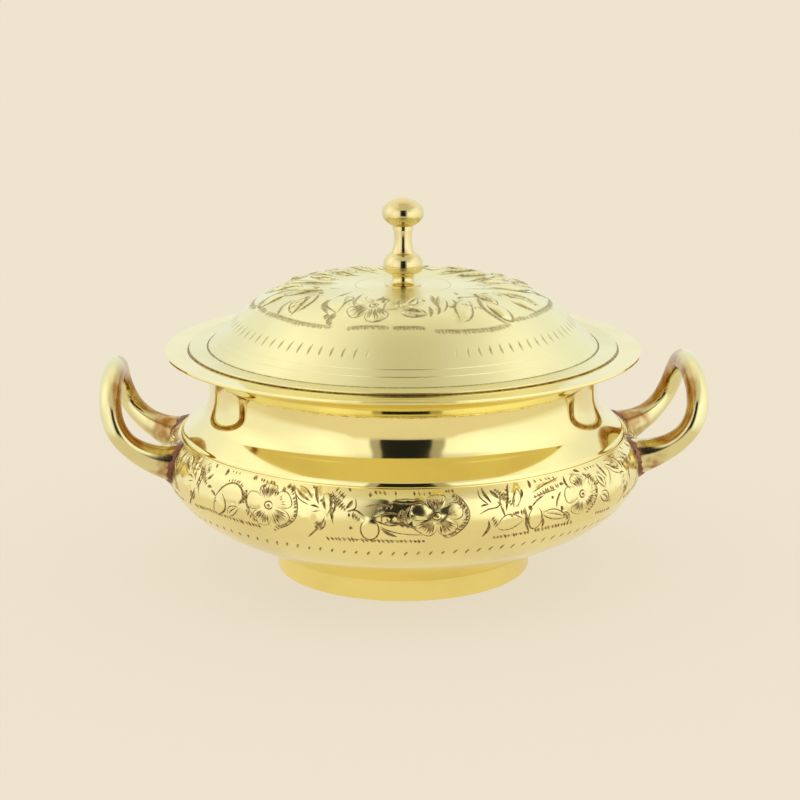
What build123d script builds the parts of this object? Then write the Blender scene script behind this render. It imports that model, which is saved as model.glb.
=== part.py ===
from build123d import *
import os
from math import asin, cos, degrees, radians, sin, tan

# Lidded brass serving bowl. Millimetres, +Z up, origin on the table under the centre.
# The two handles stand along X.

# Bowl: the neck sets the radii, and each step outwards from it has its own size
bowl_wall = 1.4
neck_radius = 78.1
rim_width = 16.9
shoulder_step = 11.7
belly_bulge = 6.5

# Bowl heights: the widest line above the table, then each rise above the one before
belly_height = 45.0
shoulder_rise = 12.4
neck_rise = 31.9

# Share of a wall's thickness that is rounded off on each side of an open edge
edge_round_share = 0.42

# Underside of the belly: a tight curve at the widest line, a slower one, then a cone
equator_bend = 16.0
equator_turn = 30.0
underside_bend = 36.0
cone_angle = 28.0
floor_bend = 20.0
floor_height = 4.0

# Neck above the shoulder: cone, waist curve, slight outward lean, tight flare under the rim
shoulder_slope = 41.0
waist_bend = 10.0
neck_lean = 12.0
flare_bend = 4.5

# Foot ring
foot_radius = 51.6
foot_wall = 2.2
foot_edge_round = 0.5

# Handles: control points of a symmetric Bezier arch, each given by its distance out from
# the belly, its spread to one side and its rise above the shoulder
handle_root = (-6.3, 21.5, -9.0)
handle_elbow = (39.2, 31.2, 0.9)
handle_bow = (11.5, 53.4, 40.0)
grip_half_width = 4.4
grip_half_depth = 4.2
root_half_width = 6.4
root_half_height = 8.3
root_taper_share = 0.2
leg_sections = 7
leg_crowding = 1.5
oval_points = 8

# Braze fillets round the handle roots, and beads in the hidden corners
braze_reach = 0.045
braze_thickness = 2.0
braze_edge = 0.35
bead_size = 1.4

# Lid
lid_wall = 1.0
crease_inset = 0.1
brim_width = 7.5
crown_rise = 23.5
dome_angle = 43.0
dome_bend = 40.0

# Locating collar under the lid
collar_clearance = 0.7
collar_wall = 1.2
collar_depth = 8.7

# Turned knob: radii from the base up, and the rise from each station to the next
knob_base_radius = 7.4
knob_base_edge = 0.5
stem_radius = 4.2
stem_rise = 2.7
bulb_foot_radius = 4.8
bulb_foot_rise = 1.4
bulb_radius = 8.1
bulb_rise = 3.4
bulb_groove = 0.35
bulb_top_radius = 4.9
bulb_top_rise = 5.2
waist_radius = 3.6
waist_rise = 5.1
lip_radius = 3.85
lip_rise = 3.9
lip_band = 1.6
ball_seat_radius = 4.3
ball_radius = 8.6
ball_edge_bend = 4.4
ball_edge_turn = 45.0

# Screw and washer that hold the knob from inside the lid
screw_radius = 2.0
screw_length = 12.0
screw_head_radius = 3.9
screw_head_height = 2.4
screw_slot_width = 1.0
screw_slot_depth = 1.2
thread_clearance = 0.1
bore_end_gap = 1.0
hole_clearance = 0.3
washer_radius = 6.5
washer_thickness = 1.0

# Radii and heights that follow from the sizes above
shoulder_radius = neck_radius + shoulder_step
belly_radius = shoulder_radius + belly_bulge
rim_radius = neck_radius + rim_width
crease_radius = neck_radius - crease_inset
lid_radius = crease_radius + brim_width
collar_radius = neck_radius - bowl_wall - collar_clearance
shoulder_height = belly_height + shoulder_rise
rim_underside = shoulder_height + neck_rise
rim_top = rim_underside + bowl_wall
brim_top = rim_top + lid_wall
crown_height = brim_top + crown_rise
underside_turn = 90.0 - equator_turn - cone_angle
waist_turn = 90.0 - shoulder_slope


def trace_bowl():
    """Draw the bowl's outside in the open BuildLine, from the floor's centre to the rim's edge."""
    widest = (belly_radius, belly_height)
    low = JernArc(widest, (0, -1), equator_bend, -equator_turn)
    under = JernArc(low @ 1, low % 1, underside_bend, -underside_turn)
    bend_top = floor_height + floor_bend * (1 - cos(radians(cone_angle)))
    cone_foot = (under @ 1).X - ((under @ 1).Y - bend_top) / tan(radians(cone_angle))
    cone = Line(under @ 1, (cone_foot, bend_top))
    turn = JernArc(cone @ 1, cone % 1, floor_bend, -cone_angle)
    Line(turn @ 1, (0, floor_height))

    shoulder = (shoulder_radius, shoulder_height)
    TangentArc(widest, shoulder, tangent=(0, 1))
    slope = radians(shoulder_slope)
    slope_run = shoulder_radius - neck_radius - waist_bend * (1 - cos(radians(waist_turn)))
    fall = Line(shoulder, (shoulder_radius - slope_run, shoulder_height + slope_run * tan(slope)))
    waist = JernArc(fall @ 1, fall % 1, waist_bend, -waist_turn)
    flare_start = rim_underside - flare_bend * (1 - sin(radians(neck_lean)))
    lean_bend = (flare_start - (waist @ 1).Y) / sin(radians(neck_lean))
    lean = JernArc(waist @ 1, waist % 1, lean_bend, -neck_lean)
    flare = JernArc(lean @ 1, lean % 1, flare_bend, neck_lean - 90)
    return Line(flare @ 1, (rim_radius, rim_underside))


def cone_height(radius):
    """Height of the belly's underside cone at a radius."""
    slope = tan(radians(cone_angle))
    turn = radians(equator_turn)
    edge_radius = belly_radius - equator_bend * (1 - cos(turn))
    edge_height = belly_height - equator_bend * sin(turn)
    end = radians(90 - cone_angle)
    edge_radius -= underside_bend * (cos(turn) - cos(end))
    edge_height -= underside_bend * (sin(end) - sin(turn))
    return edge_height - (edge_radius - radius) * slope


def lid_underside(radius):
    """Height of the lid's inner cone at a radius, just inside the crease."""
    slope = radians(dome_angle)
    return brim_top + (crease_radius - radius) * tan(slope) - lid_wall / cos(slope)


# Bowl wall, drawn once so that the belly and the neck meet edge to edge
with BuildSketch(Plane.XZ) as bowl_section:
    with BuildLine():
        trace_bowl()
        offset(amount=bowl_wall, side=Side.RIGHT)
    make_face()

# Everything inside the bowl's outer surface, used to trim what is brazed on it
with BuildPart() as bowl_hull:
    with BuildSketch(Plane.XZ):
        with BuildLine():
            rim_edge = trace_bowl()
            Polyline(rim_edge @ 1, (0, rim_underside), (0, floor_height))
        make_face()
    revolve(axis=Axis.Z)

# Belly: the lower shell with the floor
with BuildPart() as belly:
    revolve(bowl_section.sketch, axis=Axis.Z)
    split(bisect_by=Plane.XY.offset(shoulder_height), keep=Keep.BOTTOM)

# Neck: the upper shell with the flat rim, rounded at its edge
with BuildPart() as neck:
    revolve(bowl_section.sketch, axis=Axis.Z)
    split(bisect_by=Plane.XY.offset(shoulder_height), keep=Keep.TOP)
    rim_face = neck.faces().filter_by(GeomType.CYLINDER).sort_by(lambda face: face.center().Z)[-1]
    fillet(rim_face.edges().filter_by(GeomType.CIRCLE), radius=edge_round_share * bowl_wall)

# Foot ring: a short spun ring whose top follows the belly's underside
with BuildPart() as foot_ring:
    with BuildSketch(Plane.XZ):
        with Locations((foot_radius - foot_wall, 0)):
            Rectangle(foot_wall, belly_height, align=(Align.MIN, Align.MIN))
    revolve(axis=Axis.Z)
    add(bowl_hull.part, mode=Mode.SUBTRACT)
    foot_faces = foot_ring.faces().filter_by(GeomType.PLANE).sort_by(Axis.Z)
    fillet(foot_faces[0].edges(), radius=foot_edge_round)

# Braze bead in the corner between the foot ring and the belly, on the inside
with BuildPart() as foot_braze:
    inner_foot = foot_radius - foot_wall
    with BuildSketch(Plane.XZ):
        with BuildLine():
            Polyline(
                (inner_foot, cone_height(inner_foot)),
                (inner_foot, cone_height(inner_foot) - bead_size),
                (inner_foot - bead_size, cone_height(inner_foot - bead_size)),
                close=True,
            )
        make_face()
    revolve(axis=Axis.Z)


def mirrored_arch():
    """The handle's control points: one leg, then the other leg mirrored across XZ."""
    leg = [
        (belly_radius + out, spread, shoulder_height + rise)
        for out, spread, rise in (handle_root, handle_elbow, handle_bow)
    ]
    return leg + [(x, -y, z) for x, y, z in reversed(leg)]


def root_flare(place):
    """How far a place along the arch is into the flare of its root, from 0 to 1."""
    nearest_root = min(place, 1 - place)
    return max(0.0, 1 - nearest_root / root_taper_share) ** 2


def arch_section(arch, place, extra=0.0):
    """One oval section of the handle, square to the arch, with its short axis towards the bowl."""
    tangent = arch % place
    across = Vector(-1, 0, 1).cross(tangent)
    flare = root_flare(place)
    half_width = grip_half_width + (root_half_width - grip_half_width) * flare + extra
    half_depth = grip_half_depth + (root_half_height - grip_half_depth) * flare + extra
    with BuildSketch(Plane(origin=arch @ place, x_dir=across, z_dir=tangent)) as section:
        with BuildLine():
            turns = [radians(360 * step / oval_points) for step in range(oval_points)]
            Spline([(half_width * cos(turn), half_depth * sin(turn)) for turn in turns], periodic=True)
        make_face()
    return section.sketch


def leg_places():
    """Places of the sections along one leg, closer together near the root."""
    return [0.5 * (index / (leg_sections - 1)) ** leg_crowding for index in range(leg_sections)]


arch_line = Bezier(*mirrored_arch())

# Right handle: one closed cast arch whose two legs flare at their roots, cut to the bowl
with BuildPart() as handle_right:
    places = leg_places()
    places += [1 - place for place in reversed(places[:-1])]
    loft([arch_section(arch_line, place) for place in places])
    add(bowl_hull.part, mode=Mode.SUBTRACT)

# Left handle: the same casting, turned half round the bowl
with BuildPart() as handle_left:
    add(handle_right.part, rotation=(0, 0, 180))

# Braze fillets: a thin ring of filler round each of the four roots
with BuildPart() as handle_braze:
    loft(
        [
            arch_section(arch_line, 0, braze_thickness),
            arch_section(arch_line, braze_reach / 2, (braze_thickness + braze_edge) / 2),
            arch_section(arch_line, braze_reach, braze_edge),
        ]
    )
    add(bowl_hull.part, mode=Mode.SUBTRACT)
    add(handle_right.part, mode=Mode.SUBTRACT)
    mirror(about=Plane.XZ)
    mirror(about=Plane.YZ)

# Lid: one spun dome on a flat brim, with a hole for the knob's screw
with BuildPart() as lid_shell:
    with BuildSketch(Plane.XZ):
        with BuildLine():
            cone_rise = crown_rise - dome_bend * (1 - cos(radians(dome_angle)))
            cone_run = cone_rise / tan(radians(dome_angle))
            crown_radius = crease_radius - cone_run - dome_bend * sin(radians(dome_angle))
            crown = Line((0, crown_height), (crown_radius, crown_height))
            shoulder_arc = JernArc(crown @ 1, crown % 1, dome_bend, -dome_angle)
            Polyline(shoulder_arc @ 1, (crease_radius, brim_top), (lid_radius, brim_top))
            offset(amount=lid_wall, side=Side.RIGHT)
        make_face()
    revolve(axis=Axis.Z)
    brim_face = lid_shell.faces().filter_by(GeomType.CYLINDER).sort_by(SortBy.RADIUS)[-1]
    fillet(brim_face.edges().filter_by(GeomType.CIRCLE), radius=edge_round_share * lid_wall)
    with BuildSketch(Plane.XY.offset(crown_height)):
        Circle(screw_radius + hole_clearance)
    extrude(amount=-2 * lid_wall, mode=Mode.SUBTRACT)

# Locating collar: a thin ring under the dome that drops inside the neck
with BuildPart() as lid_collar:
    collar_inner = collar_radius - collar_wall
    collar_bottom = rim_top - collar_depth
    with BuildSketch(Plane.XZ):
        with BuildLine():
            Polyline(
                (collar_inner, collar_bottom),
                (collar_radius, collar_bottom),
                (collar_radius, lid_underside(collar_radius)),
                (collar_inner, lid_underside(collar_inner)),
                close=True,
            )
        make_face()
    revolve(axis=Axis.Z)

# Braze bead in the corner between the collar and the dome
with BuildPart() as collar_braze:
    with BuildSketch(Plane.XZ):
        with BuildLine():
            Polyline(
                (collar_inner, lid_underside(collar_inner)),
                (collar_inner, lid_underside(collar_inner) - bead_size),
                (collar_inner - bead_size, lid_underside(collar_inner - bead_size)),
                close=True,
            )
        make_face()
    revolve(axis=Axis.Z)

# Knob: one turned spindle, base, ringed bulb, waist and ball, tapped from below
with BuildPart() as knob:
    knob_plane = Plane((0, 0, crown_height), x_dir=(1, 0, 0), z_dir=(0, -1, 0))
    with BuildSketch(knob_plane):
        with BuildLine():
            base_edge = (knob_base_radius, knob_base_edge)
            stem = (stem_radius, knob_base_edge + stem_rise)
            bulb_foot = (bulb_foot_radius, stem[1] + bulb_foot_rise)
            bulb_height = bulb_foot[1] + bulb_rise
            bulb_low = (bulb_radius, bulb_height - bulb_groove)
            bulb_high = (bulb_radius, bulb_height + bulb_groove)
            bulb_top = (bulb_top_radius, bulb_height + bulb_top_rise)
            waist = (waist_radius, bulb_top[1] + waist_rise)
            lip = (lip_radius, waist[1] + lip_rise)
            seat_height = lip[1] + lip_band
            bore_radius = screw_radius + thread_clearance
            Polyline((bore_radius, 0), (knob_base_radius, 0), base_edge)
            TangentArc(stem, base_edge, tangent=(0, -1))
            Line(stem, bulb_foot)
            TangentArc(bulb_low, bulb_foot, tangent=(0, -1))
            Polyline(bulb_low, (bulb_radius - bulb_groove, bulb_height), bulb_high)
            TangentArc(bulb_high, bulb_top, tangent=(0, 1))
            TangentArc(waist, bulb_top, tangent=(0, -1))
            TangentArc(waist, lip, tangent=(0, 1))
            Polyline(lip, (ball_seat_radius, lip[1]), (ball_seat_radius, seat_height))

            edge_turn = radians(ball_edge_turn)
            cap_bend = (ball_radius - ball_edge_bend * (1 - cos(edge_turn))) / cos(edge_turn)
            seat_angle = asin(ball_seat_radius / cap_bend)
            cap_centre_drop = (ball_edge_bend - cap_bend) * sin(edge_turn)
            widest = (ball_radius, seat_height + cap_centre_drop + cap_bend * cos(seat_angle))
            upper = JernArc(widest, (0, 1), ball_edge_bend, ball_edge_turn)
            cap = JernArc(upper @ 1, upper % 1, cap_bend, 90 - ball_edge_turn)
            lower = JernArc(widest, (0, -1), ball_edge_bend, -ball_edge_turn)
            JernArc(lower @ 1, lower % 1, cap_bend, ball_edge_turn - 90 + degrees(seat_angle))
            bore_depth = screw_length - lid_wall - washer_thickness + bore_end_gap
            Polyline(cap @ 1, (0, bore_depth), (bore_radius, bore_depth), (bore_radius, 0))
        make_face()
    revolve(axis=Axis.Z)

# Washer inside the lid, under the crown
with BuildPart() as knob_washer:
    with BuildSketch(Plane.XY.offset(crown_height - lid_wall)):
        Circle(washer_radius)
        Circle(screw_radius + hole_clearance, mode=Mode.SUBTRACT)
    extrude(amount=-washer_thickness)

# Slotted screw that pulls the knob down on the crown
with BuildPart() as knob_screw:
    head_top = crown_height - lid_wall - washer_thickness
    slot_cutter_length = 3 * screw_head_radius
    with BuildSketch(Plane.XY.offset(head_top)):
        Circle(screw_radius)
    extrude(amount=screw_length)
    with BuildSketch(Plane.XY.offset(head_top)):
        Circle(screw_head_radius)
    extrude(amount=-screw_head_height)
    fillet(knob_screw.edges().sort_by(Axis.Z)[0], radius=edge_round_share * screw_head_height)
    with BuildSketch(Plane.XY.offset(head_top - screw_head_height)):
        Rectangle(slot_cutter_length, screw_slot_width)
    extrude(amount=screw_slot_depth, mode=Mode.SUBTRACT)


os.makedirs("parts", exist_ok=True)
pieces = {
    "belly": belly,
    "neck": neck,
    "foot_ring": foot_ring,
    "foot_braze": foot_braze,
    "handle_right": handle_right,
    "handle_left": handle_left,
    "handle_braze": handle_braze,
    "lid_shell": lid_shell,
    "lid_collar": lid_collar,
    "collar_braze": collar_braze,
    "knob": knob,
    "knob_washer": knob_washer,
    "knob_screw": knob_screw,
}
for label, piece in pieces.items():
    piece.part.label = label
    export_step(piece.part, f"parts/{label}.step")
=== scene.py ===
"""Looks of a lidded brass serving bowl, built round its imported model.

Turned shells are spun from outlines, the flower bands are cut as real grooves, the handles are
cast arches with brazed roots, and a small light tent stands round the bowl for its reflections.
Lengths are millimetres until a mesh is made; Blender's own unit is the metre.
"""

import logging
import math
import random
from collections.abc import Callable, Iterable, Sequence
from dataclasses import dataclass, field
from enum import Enum
from functools import cache

import bmesh
import bpy
import numpy as np
from bpy.types import Material, Mesh, NodeSocket, NodeTree, Object, World
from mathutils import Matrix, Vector, noise
from mathutils.geometry import delaunay_2d_cdt


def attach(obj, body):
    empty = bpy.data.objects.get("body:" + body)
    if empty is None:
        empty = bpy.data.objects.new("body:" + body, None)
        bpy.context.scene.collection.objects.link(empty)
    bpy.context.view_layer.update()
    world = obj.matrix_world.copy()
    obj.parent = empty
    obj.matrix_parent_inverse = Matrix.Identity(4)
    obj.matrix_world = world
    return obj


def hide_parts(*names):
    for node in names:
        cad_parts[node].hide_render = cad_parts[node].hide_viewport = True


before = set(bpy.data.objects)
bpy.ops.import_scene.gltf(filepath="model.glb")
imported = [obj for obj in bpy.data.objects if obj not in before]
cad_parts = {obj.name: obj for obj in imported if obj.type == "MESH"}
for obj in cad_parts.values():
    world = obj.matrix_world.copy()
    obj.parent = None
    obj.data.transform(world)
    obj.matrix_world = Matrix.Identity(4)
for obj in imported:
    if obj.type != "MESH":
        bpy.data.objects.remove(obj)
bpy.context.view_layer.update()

log = logging.getLogger("bowl")

MM = 0.001
TURN = 2 * math.pi
# Metres within which points become one.
WELD = 2e-6
# Faces round a turned piece.
STEPS_ROUND = 540
SEED = 7
Point = tuple[float, float]
Triple = tuple[float, float, float]
# A spot of an outline: radius, height, how far it faces away, how far it faces up, and 1 for inside.
Spot = tuple[float, ...]


class Body(Enum):
    """The two bodies that the pieces ride on."""

    BOWL = "bowl"
    LID = "lid"


class Slot(Enum):
    """The record's material slots."""

    POLISHED = "polished_brass"
    ENGRAVED = "engraved_brass"
    BRUSHED = "brushed_brass"
    SATIN = "satin_brass"
    BARE = "bare_brass"
    BRAZE = "braze"


# Helpers


class Wiring:
    """Adds nodes to one node tree and joins their sockets."""

    def __init__(self, tree: NodeTree) -> None:
        """Keep the tree that the nodes go into."""
        self.tree = tree

    def add(self, kind: str, inputs: dict | None = None, **settings: object) -> bpy.types.Node:
        """Add a node.

        Args:
            kind: Blender's name of the node type.
            inputs: Values or output sockets, by the name or number of the node's input.
            settings: Properties of the node itself.

        Returns:
            The new node.
        """
        node = self.tree.nodes.new(kind)
        for key, value in settings.items():
            setattr(node, key, value)
        for key, value in (inputs or {}).items():
            if isinstance(value, NodeSocket):
                self.tree.links.new(value, node.inputs[key])
            else:
                node.inputs[key].default_value = value
        return node

    def get(self, kind: str, inputs: dict | None = None, **settings: object) -> NodeSocket:
        """Add a node and return its first output."""
        return self.add(kind, inputs, **settings).outputs[0]

    def math(self, operation: str, *values: object) -> NodeSocket:
        """Add a Math node and return its output."""
        return self.get("ShaderNodeMath", dict(enumerate(values)), operation=operation)

    def parts(self, vector: NodeSocket) -> Sequence[NodeSocket]:
        """Return the x, y and z of a vector."""
        return self.add("ShaderNodeSeparateXYZ", {0: vector}).outputs

    def span(self, value: object, *limits: float) -> NodeSocket:
        """Map a value from one range to another, smoothly: low, high, result at low, result at high."""
        inputs = dict(enumerate((value, *limits)))
        return self.get("ShaderNodeMapRange", inputs, interpolation_type="SMOOTHSTEP")

    def noise(self, vector: object, scale: object, detail: float) -> NodeSocket:
        """Add a noise texture on a vector and return its value."""
        return self.get("ShaderNodeTexNoise", {"Vector": vector, "Scale": scale, "Detail": detail})

    def mix(self, share: object, first: object, second: object) -> NodeSocket:
        """Mix two colours, given as sockets or as plain red, green and blue."""
        inputs = {0: share}
        for key, colour in ((6, first), (7, second)):
            inputs[key] = colour if isinstance(colour, NodeSocket) else (*colour, 1.0)
        return self.add("ShaderNodeMix", inputs, data_type="RGBA").outputs[2]


def new_tree(kind: str, name: str, inputs: str, outputs: str) -> tuple[Wiring, Sequence[NodeSocket]]:
    """Make a node group with named sockets.

    Args:
        kind: "Shader" or "Geometry".
        name: The group's name.
        inputs: Its inputs, each as a name and a type, with commas between them.
        outputs: Its outputs, written in the same way.

    Returns:
        Wiring on the new tree, and the sockets that its inputs are read from.
    """
    tree = bpy.data.node_groups.new(name, f"{kind}NodeTree")
    for in_out, sockets in (("INPUT", inputs), ("OUTPUT", outputs)):
        for socket_name, socket_type in map(str.split, sockets.split(",")):
            tree.interface.new_socket(socket_name, in_out=in_out, socket_type=f"NodeSocket{socket_type}")
    wiring = Wiring(tree)
    return wiring, wiring.add("NodeGroupInput").outputs


def clean_nodes(owner: Material | World) -> Wiring:
    """Switch on the nodes of a material or world, and return wiring on its emptied tree."""
    owner.use_nodes = True
    owner.node_tree.nodes.clear()
    return Wiring(owner.node_tree)


def add_object(name: str, data: bpy.types.ID) -> Object:
    """Make an object and put it into the scene."""
    made = bpy.data.objects.new(name, data)
    bpy.context.scene.collection.objects.link(made)
    return made


def store(mesh: Mesh, name: str, kind: str, domain: str, values: Iterable[float]) -> None:
    """Store an attribute of a kind, such as FLOAT, on a mesh's POINT or CORNER places."""
    part = {"FLOAT": "value", "FLOAT_VECTOR": "vector", "FLOAT_COLOR": "color"}[kind]
    mesh.attributes.new(name, kind, domain).data.foreach_set(part, values)


def vertex_places(mesh: Mesh) -> np.ndarray:
    """Return the vertices' places in metres, in rows of three."""
    places = np.zeros(len(mesh.vertices) * 3)
    mesh.vertices.foreach_get("co", places)
    return places.reshape(-1, 3)


def corner_owners(mesh: Mesh) -> np.ndarray:
    """Return the number of the vertex at each corner of the faces."""
    owner = np.zeros(len(mesh.loops), np.int32)
    mesh.loops.foreach_get("vertex_index", owner)
    return owner


def paint_grime_and_shade(mesh: Mesh, rule: Callable[[float, float], float]) -> None:
    """Store how dark each corner is, by a rule of its radius and height in millimetres: painted shade, with
    some dirt, in the grooves, creases and gaps of the turned pieces.
    """
    values = []
    for loop in mesh.loops:
        spot = mesh.vertices[loop.vertex_index].co / MM
        values.append(rule(math.hypot(spot.x, spot.y), spot.z))
    store(mesh, "cut", "FLOAT", "CORNER", values)


def ring_faces(rings: int, around: int, first: int = 0, closed: bool = False) -> list[tuple[int, ...]]:
    """Return the faces between rings of points.

    Args:
        rings: How many rings there are.
        around: How many points are in a ring.
        first: The number of the first point.
        closed: Whether the last ring is joined to the first.

    Returns:
        The faces, as numbers of points.
    """
    faces = []
    for ring in range(rings if closed else rings - 1):
        here, there = first + ring * around, first + (ring + 1) % rings * around
        for step in range(around):
            after = (step + 1) % around
            faces.append((here + step, here + after, there + after, there + step))
    return faces


def unit(vectors: np.ndarray) -> np.ndarray:
    """Return vectors, in rows, at a length of one."""
    return vectors / np.maximum(np.linalg.norm(vectors, axis=1, keepdims=True), 1e-9)


def lengths(points: np.ndarray) -> np.ndarray:
    """Return how far along a flat line each of its points lies."""
    steps = np.diff(points, axis=0)
    return np.concatenate([[0], np.cumsum(np.hypot(steps[:, 0], steps[:, 1]))])


def clamp(value: float, high: float = 1.0) -> float:
    """Return a value, kept between 0 and high."""
    return min(max(value, 0.0), high)


# Turned pieces


class Outline:
    """A turned profile, drawn like a pen moving in the half-plane of radius and height.

    Drawn out along the underside, up and back in, it faces outwards. Lengths are millimetres and
    turns are degrees, positive to the left.
    """

    def __init__(self, r: float, z: float, heading: float = 0.0) -> None:
        """Put the pen down at a radius and height, pointing along heading, in degrees."""
        self.r = r
        self.z = z
        self.heading = math.radians(heading)
        self.spots: list[Spot] = []

    def mark(self) -> None:
        """Note the pen's place, the way the surface faces there, and that it is outside."""
        self.spots.append((self.r, self.z, math.sin(self.heading), -math.cos(self.heading), 0.0))

    def line(self, r: float, z: float, grain: float = 6.0) -> "Outline":
        """Draw a straight run to a point, in steps no longer than grain."""
        run, rise = r - self.r, z - self.z
        self.heading = math.atan2(rise, run)
        pieces = max(1, math.ceil(math.hypot(run, rise) / grain))
        start = (self.r, self.z)
        for step in range(pieces + 1):
            self.r = start[0] + run * step / pieces
            self.z = start[1] + rise * step / pieces
            self.mark()
        return self

    def ahead(self, length: float, grain: float = 6.0) -> "Outline":
        """Draw a straight run of that length the way that the pen points."""
        out, up = length * math.cos(self.heading), length * math.sin(self.heading)
        return self.line(self.r + out, self.z + up, grain)

    def bend(self, radius: float, turn: float, grain: float = 3.0) -> "Outline":
        """Draw an arc on from the pen's heading.

        Args:
            radius: The arc's radius.
            turn: How far it turns, in degrees.
            grain: Most degrees in one step.

        Returns:
            The outline itself.
        """
        pieces = max(2, math.ceil(abs(turn) / grain))
        reach = math.copysign(radius, turn)
        first = self.heading
        centre = (self.r - reach * math.sin(first), self.z + reach * math.cos(first))
        for step in range(pieces + 1):
            self.heading = first + math.radians(turn) * step / pieces
            self.r = centre[0] + reach * math.sin(self.heading)
            self.z = centre[1] - reach * math.cos(self.heading)
            self.mark()
        return self

    def leave(self, r: float, z: float, grain: float = 3.0) -> "Outline":
        """Draw the arc that leaves along the pen's heading and ends at a point."""
        chord = math.atan2(z - self.z, r - self.r)
        half = (chord - self.heading + math.pi) % TURN - math.pi
        radius = math.hypot(r - self.r, z - self.z) / (2 * math.sin(abs(half)))
        return self.bend(radius, math.degrees(2 * half), grain)

    def arrive(self, r: float, z: float, heading: float, grain: float = 3.0) -> "Outline":
        """Draw the arc that arrives at a point along that heading, in degrees."""
        chord = math.atan2(z - self.z, r - self.r)
        self.heading = 2 * chord - math.radians(heading)
        return self.leave(r, z, grain)

    def notch(self, width: float, depth: float) -> "Outline":
        """Cut a small V groove across the way that the pen goes."""
        heading = self.heading
        cos, sin = math.cos(heading), math.sin(heading)
        end = (self.r + cos * width, self.z + sin * width)
        self.line(self.r + cos * width / 2 - sin * depth, self.z + sin * width / 2 + cos * depth)
        self.line(*end)
        self.heading = heading
        return self

    def lining(self, wall: float) -> list[Spot]:
        """Return the spots of the other side of a wall of this outline, drawn back."""
        return [(r - wall * nr, z - wall * nz, -nr, -nz, 1.0) for r, z, nr, nz, _ in reversed(self.spots)]


def edge_between(first: Spot, last: Spot) -> list[Spot]:
    """Return the two spots of a straight edge on the inside that joins two spots."""
    pen = Outline(first[0], first[1]).line(last[0], last[1], math.inf)
    return [(*spot[:4], 1.0) for spot in pen.spots]


@cache
def spin_tree() -> NodeTree:
    """Build the Geometry Nodes that turn an outline's spots round the Z axis into a closed skin."""
    inputs = "Outline Geometry, Steps Int, Weld Float, Outside Material, Inside Material"
    wiring, given = new_tree("Geometry", "spin an outline", inputs, "Skin Geometry")
    outline = given["Outline"]
    count = wiring.get("GeometryNodeAttributeDomainSize", {0: outline}, component="MESH")
    last = wiring.math("SUBTRACT", count, 1.0)
    rows = wiring.math("ADD", given["Steps"], 1.0)
    size = {"Size X": last, "Size Y": TURN, "Vertices X": count, "Vertices Y": rows}
    skin = wiring.add("GeometryNodeMeshGrid", size).outputs["Mesh"]
    place = wiring.parts(wiring.get("GeometryNodeInputPosition"))
    station = wiring.math("ROUND", wiring.math("ADD", place[0], wiring.math("MULTIPLY", last, 0.5)))
    angle = wiring.math("MULTIPLY", place[1], -1.0)

    def sample(value: NodeSocket, kind: str) -> NodeSocket:
        """Read a value of the outline's point at this station."""
        inputs = {"Geometry": outline, "Value": value, "Index": station}
        return wiring.get("GeometryNodeSampleIndex", inputs, data_type=kind, domain="POINT")

    for name, kind, domain in (("facing", "FLOAT_VECTOR", "CORNER"), ("inside", "FLOAT", "POINT")):
        read = wiring.get("GeometryNodeInputNamedAttribute", {"Name": name}, data_type=kind)
        inputs = {"Geometry": skin, "Name": name, "Value": sample(read, kind)}
        skin = wiring.get("GeometryNodeStoreNamedAttribute", inputs, data_type=kind, domain=domain)
    spot = wiring.parts(sample(wiring.get("GeometryNodeInputPosition"), "FLOAT_VECTOR"))
    x = wiring.math("MULTIPLY", spot[0], wiring.math("COSINE", angle))
    y = wiring.math("MULTIPLY", spot[0], wiring.math("SINE", angle))
    turned = wiring.get("ShaderNodeCombineXYZ", {0: x, 1: y, 2: spot[2]})
    moved = wiring.get("GeometryNodeSetPosition", {"Geometry": skin, "Position": turned})
    welded = wiring.get("GeometryNodeMergeByDistance", {"Geometry": moved, "Distance": given["Weld"]})
    real = wiring.get("GeometryNodeRealizeInstances", {"Geometry": welded})
    outside = wiring.get("GeometryNodeSetMaterial", {"Geometry": real, "Material": given["Outside"]})
    within = wiring.get("GeometryNodeInputNamedAttribute", {"Name": "inside"}, data_type="FLOAT")
    chosen = wiring.get("FunctionNodeCompare", {0: within, 1: 0.75}, operation="GREATER_THAN")
    inputs = {"Geometry": outside, "Selection": chosen, "Material": given["Inside"]}
    wiring.add("NodeGroupOutput", {0: wiring.get("GeometryNodeSetMaterial", inputs)})
    return wiring.tree


@cache
def repeat_tree() -> NodeTree:
    """Build the Geometry Nodes that set copies of one engraved sector round the Z axis."""
    inputs = "Sector Geometry, Copies Int, Weld Float, Finish Material"
    wiring, given = new_tree("Geometry", "repeat a sector", inputs, "Band Geometry")
    places = wiring.get("GeometryNodeMeshLine", {"Count": given["Copies"], "Offset": (0.0, 0.0, 0.0)})
    number = wiring.get("GeometryNodeInputIndex")
    turn = wiring.math("MULTIPLY", wiring.math("DIVIDE", TURN, given["Copies"]), number)
    turned = wiring.get("ShaderNodeCombineXYZ", {2: turn})
    inputs = {"Points": places, "Instance": given["Sector"], "Rotation": turned}
    copies = wiring.get("GeometryNodeInstanceOnPoints", inputs)
    real = wiring.get("GeometryNodeRealizeInstances", {"Geometry": copies})
    welded = wiring.get("GeometryNodeMergeByDistance", {"Geometry": real, "Distance": given["Weld"]})
    dressed = wiring.get("GeometryNodeSetMaterial", {"Geometry": welded, "Material": given["Finish"]})
    wiring.add("NodeGroupOutput", {0: dressed})
    return wiring.tree


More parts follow.
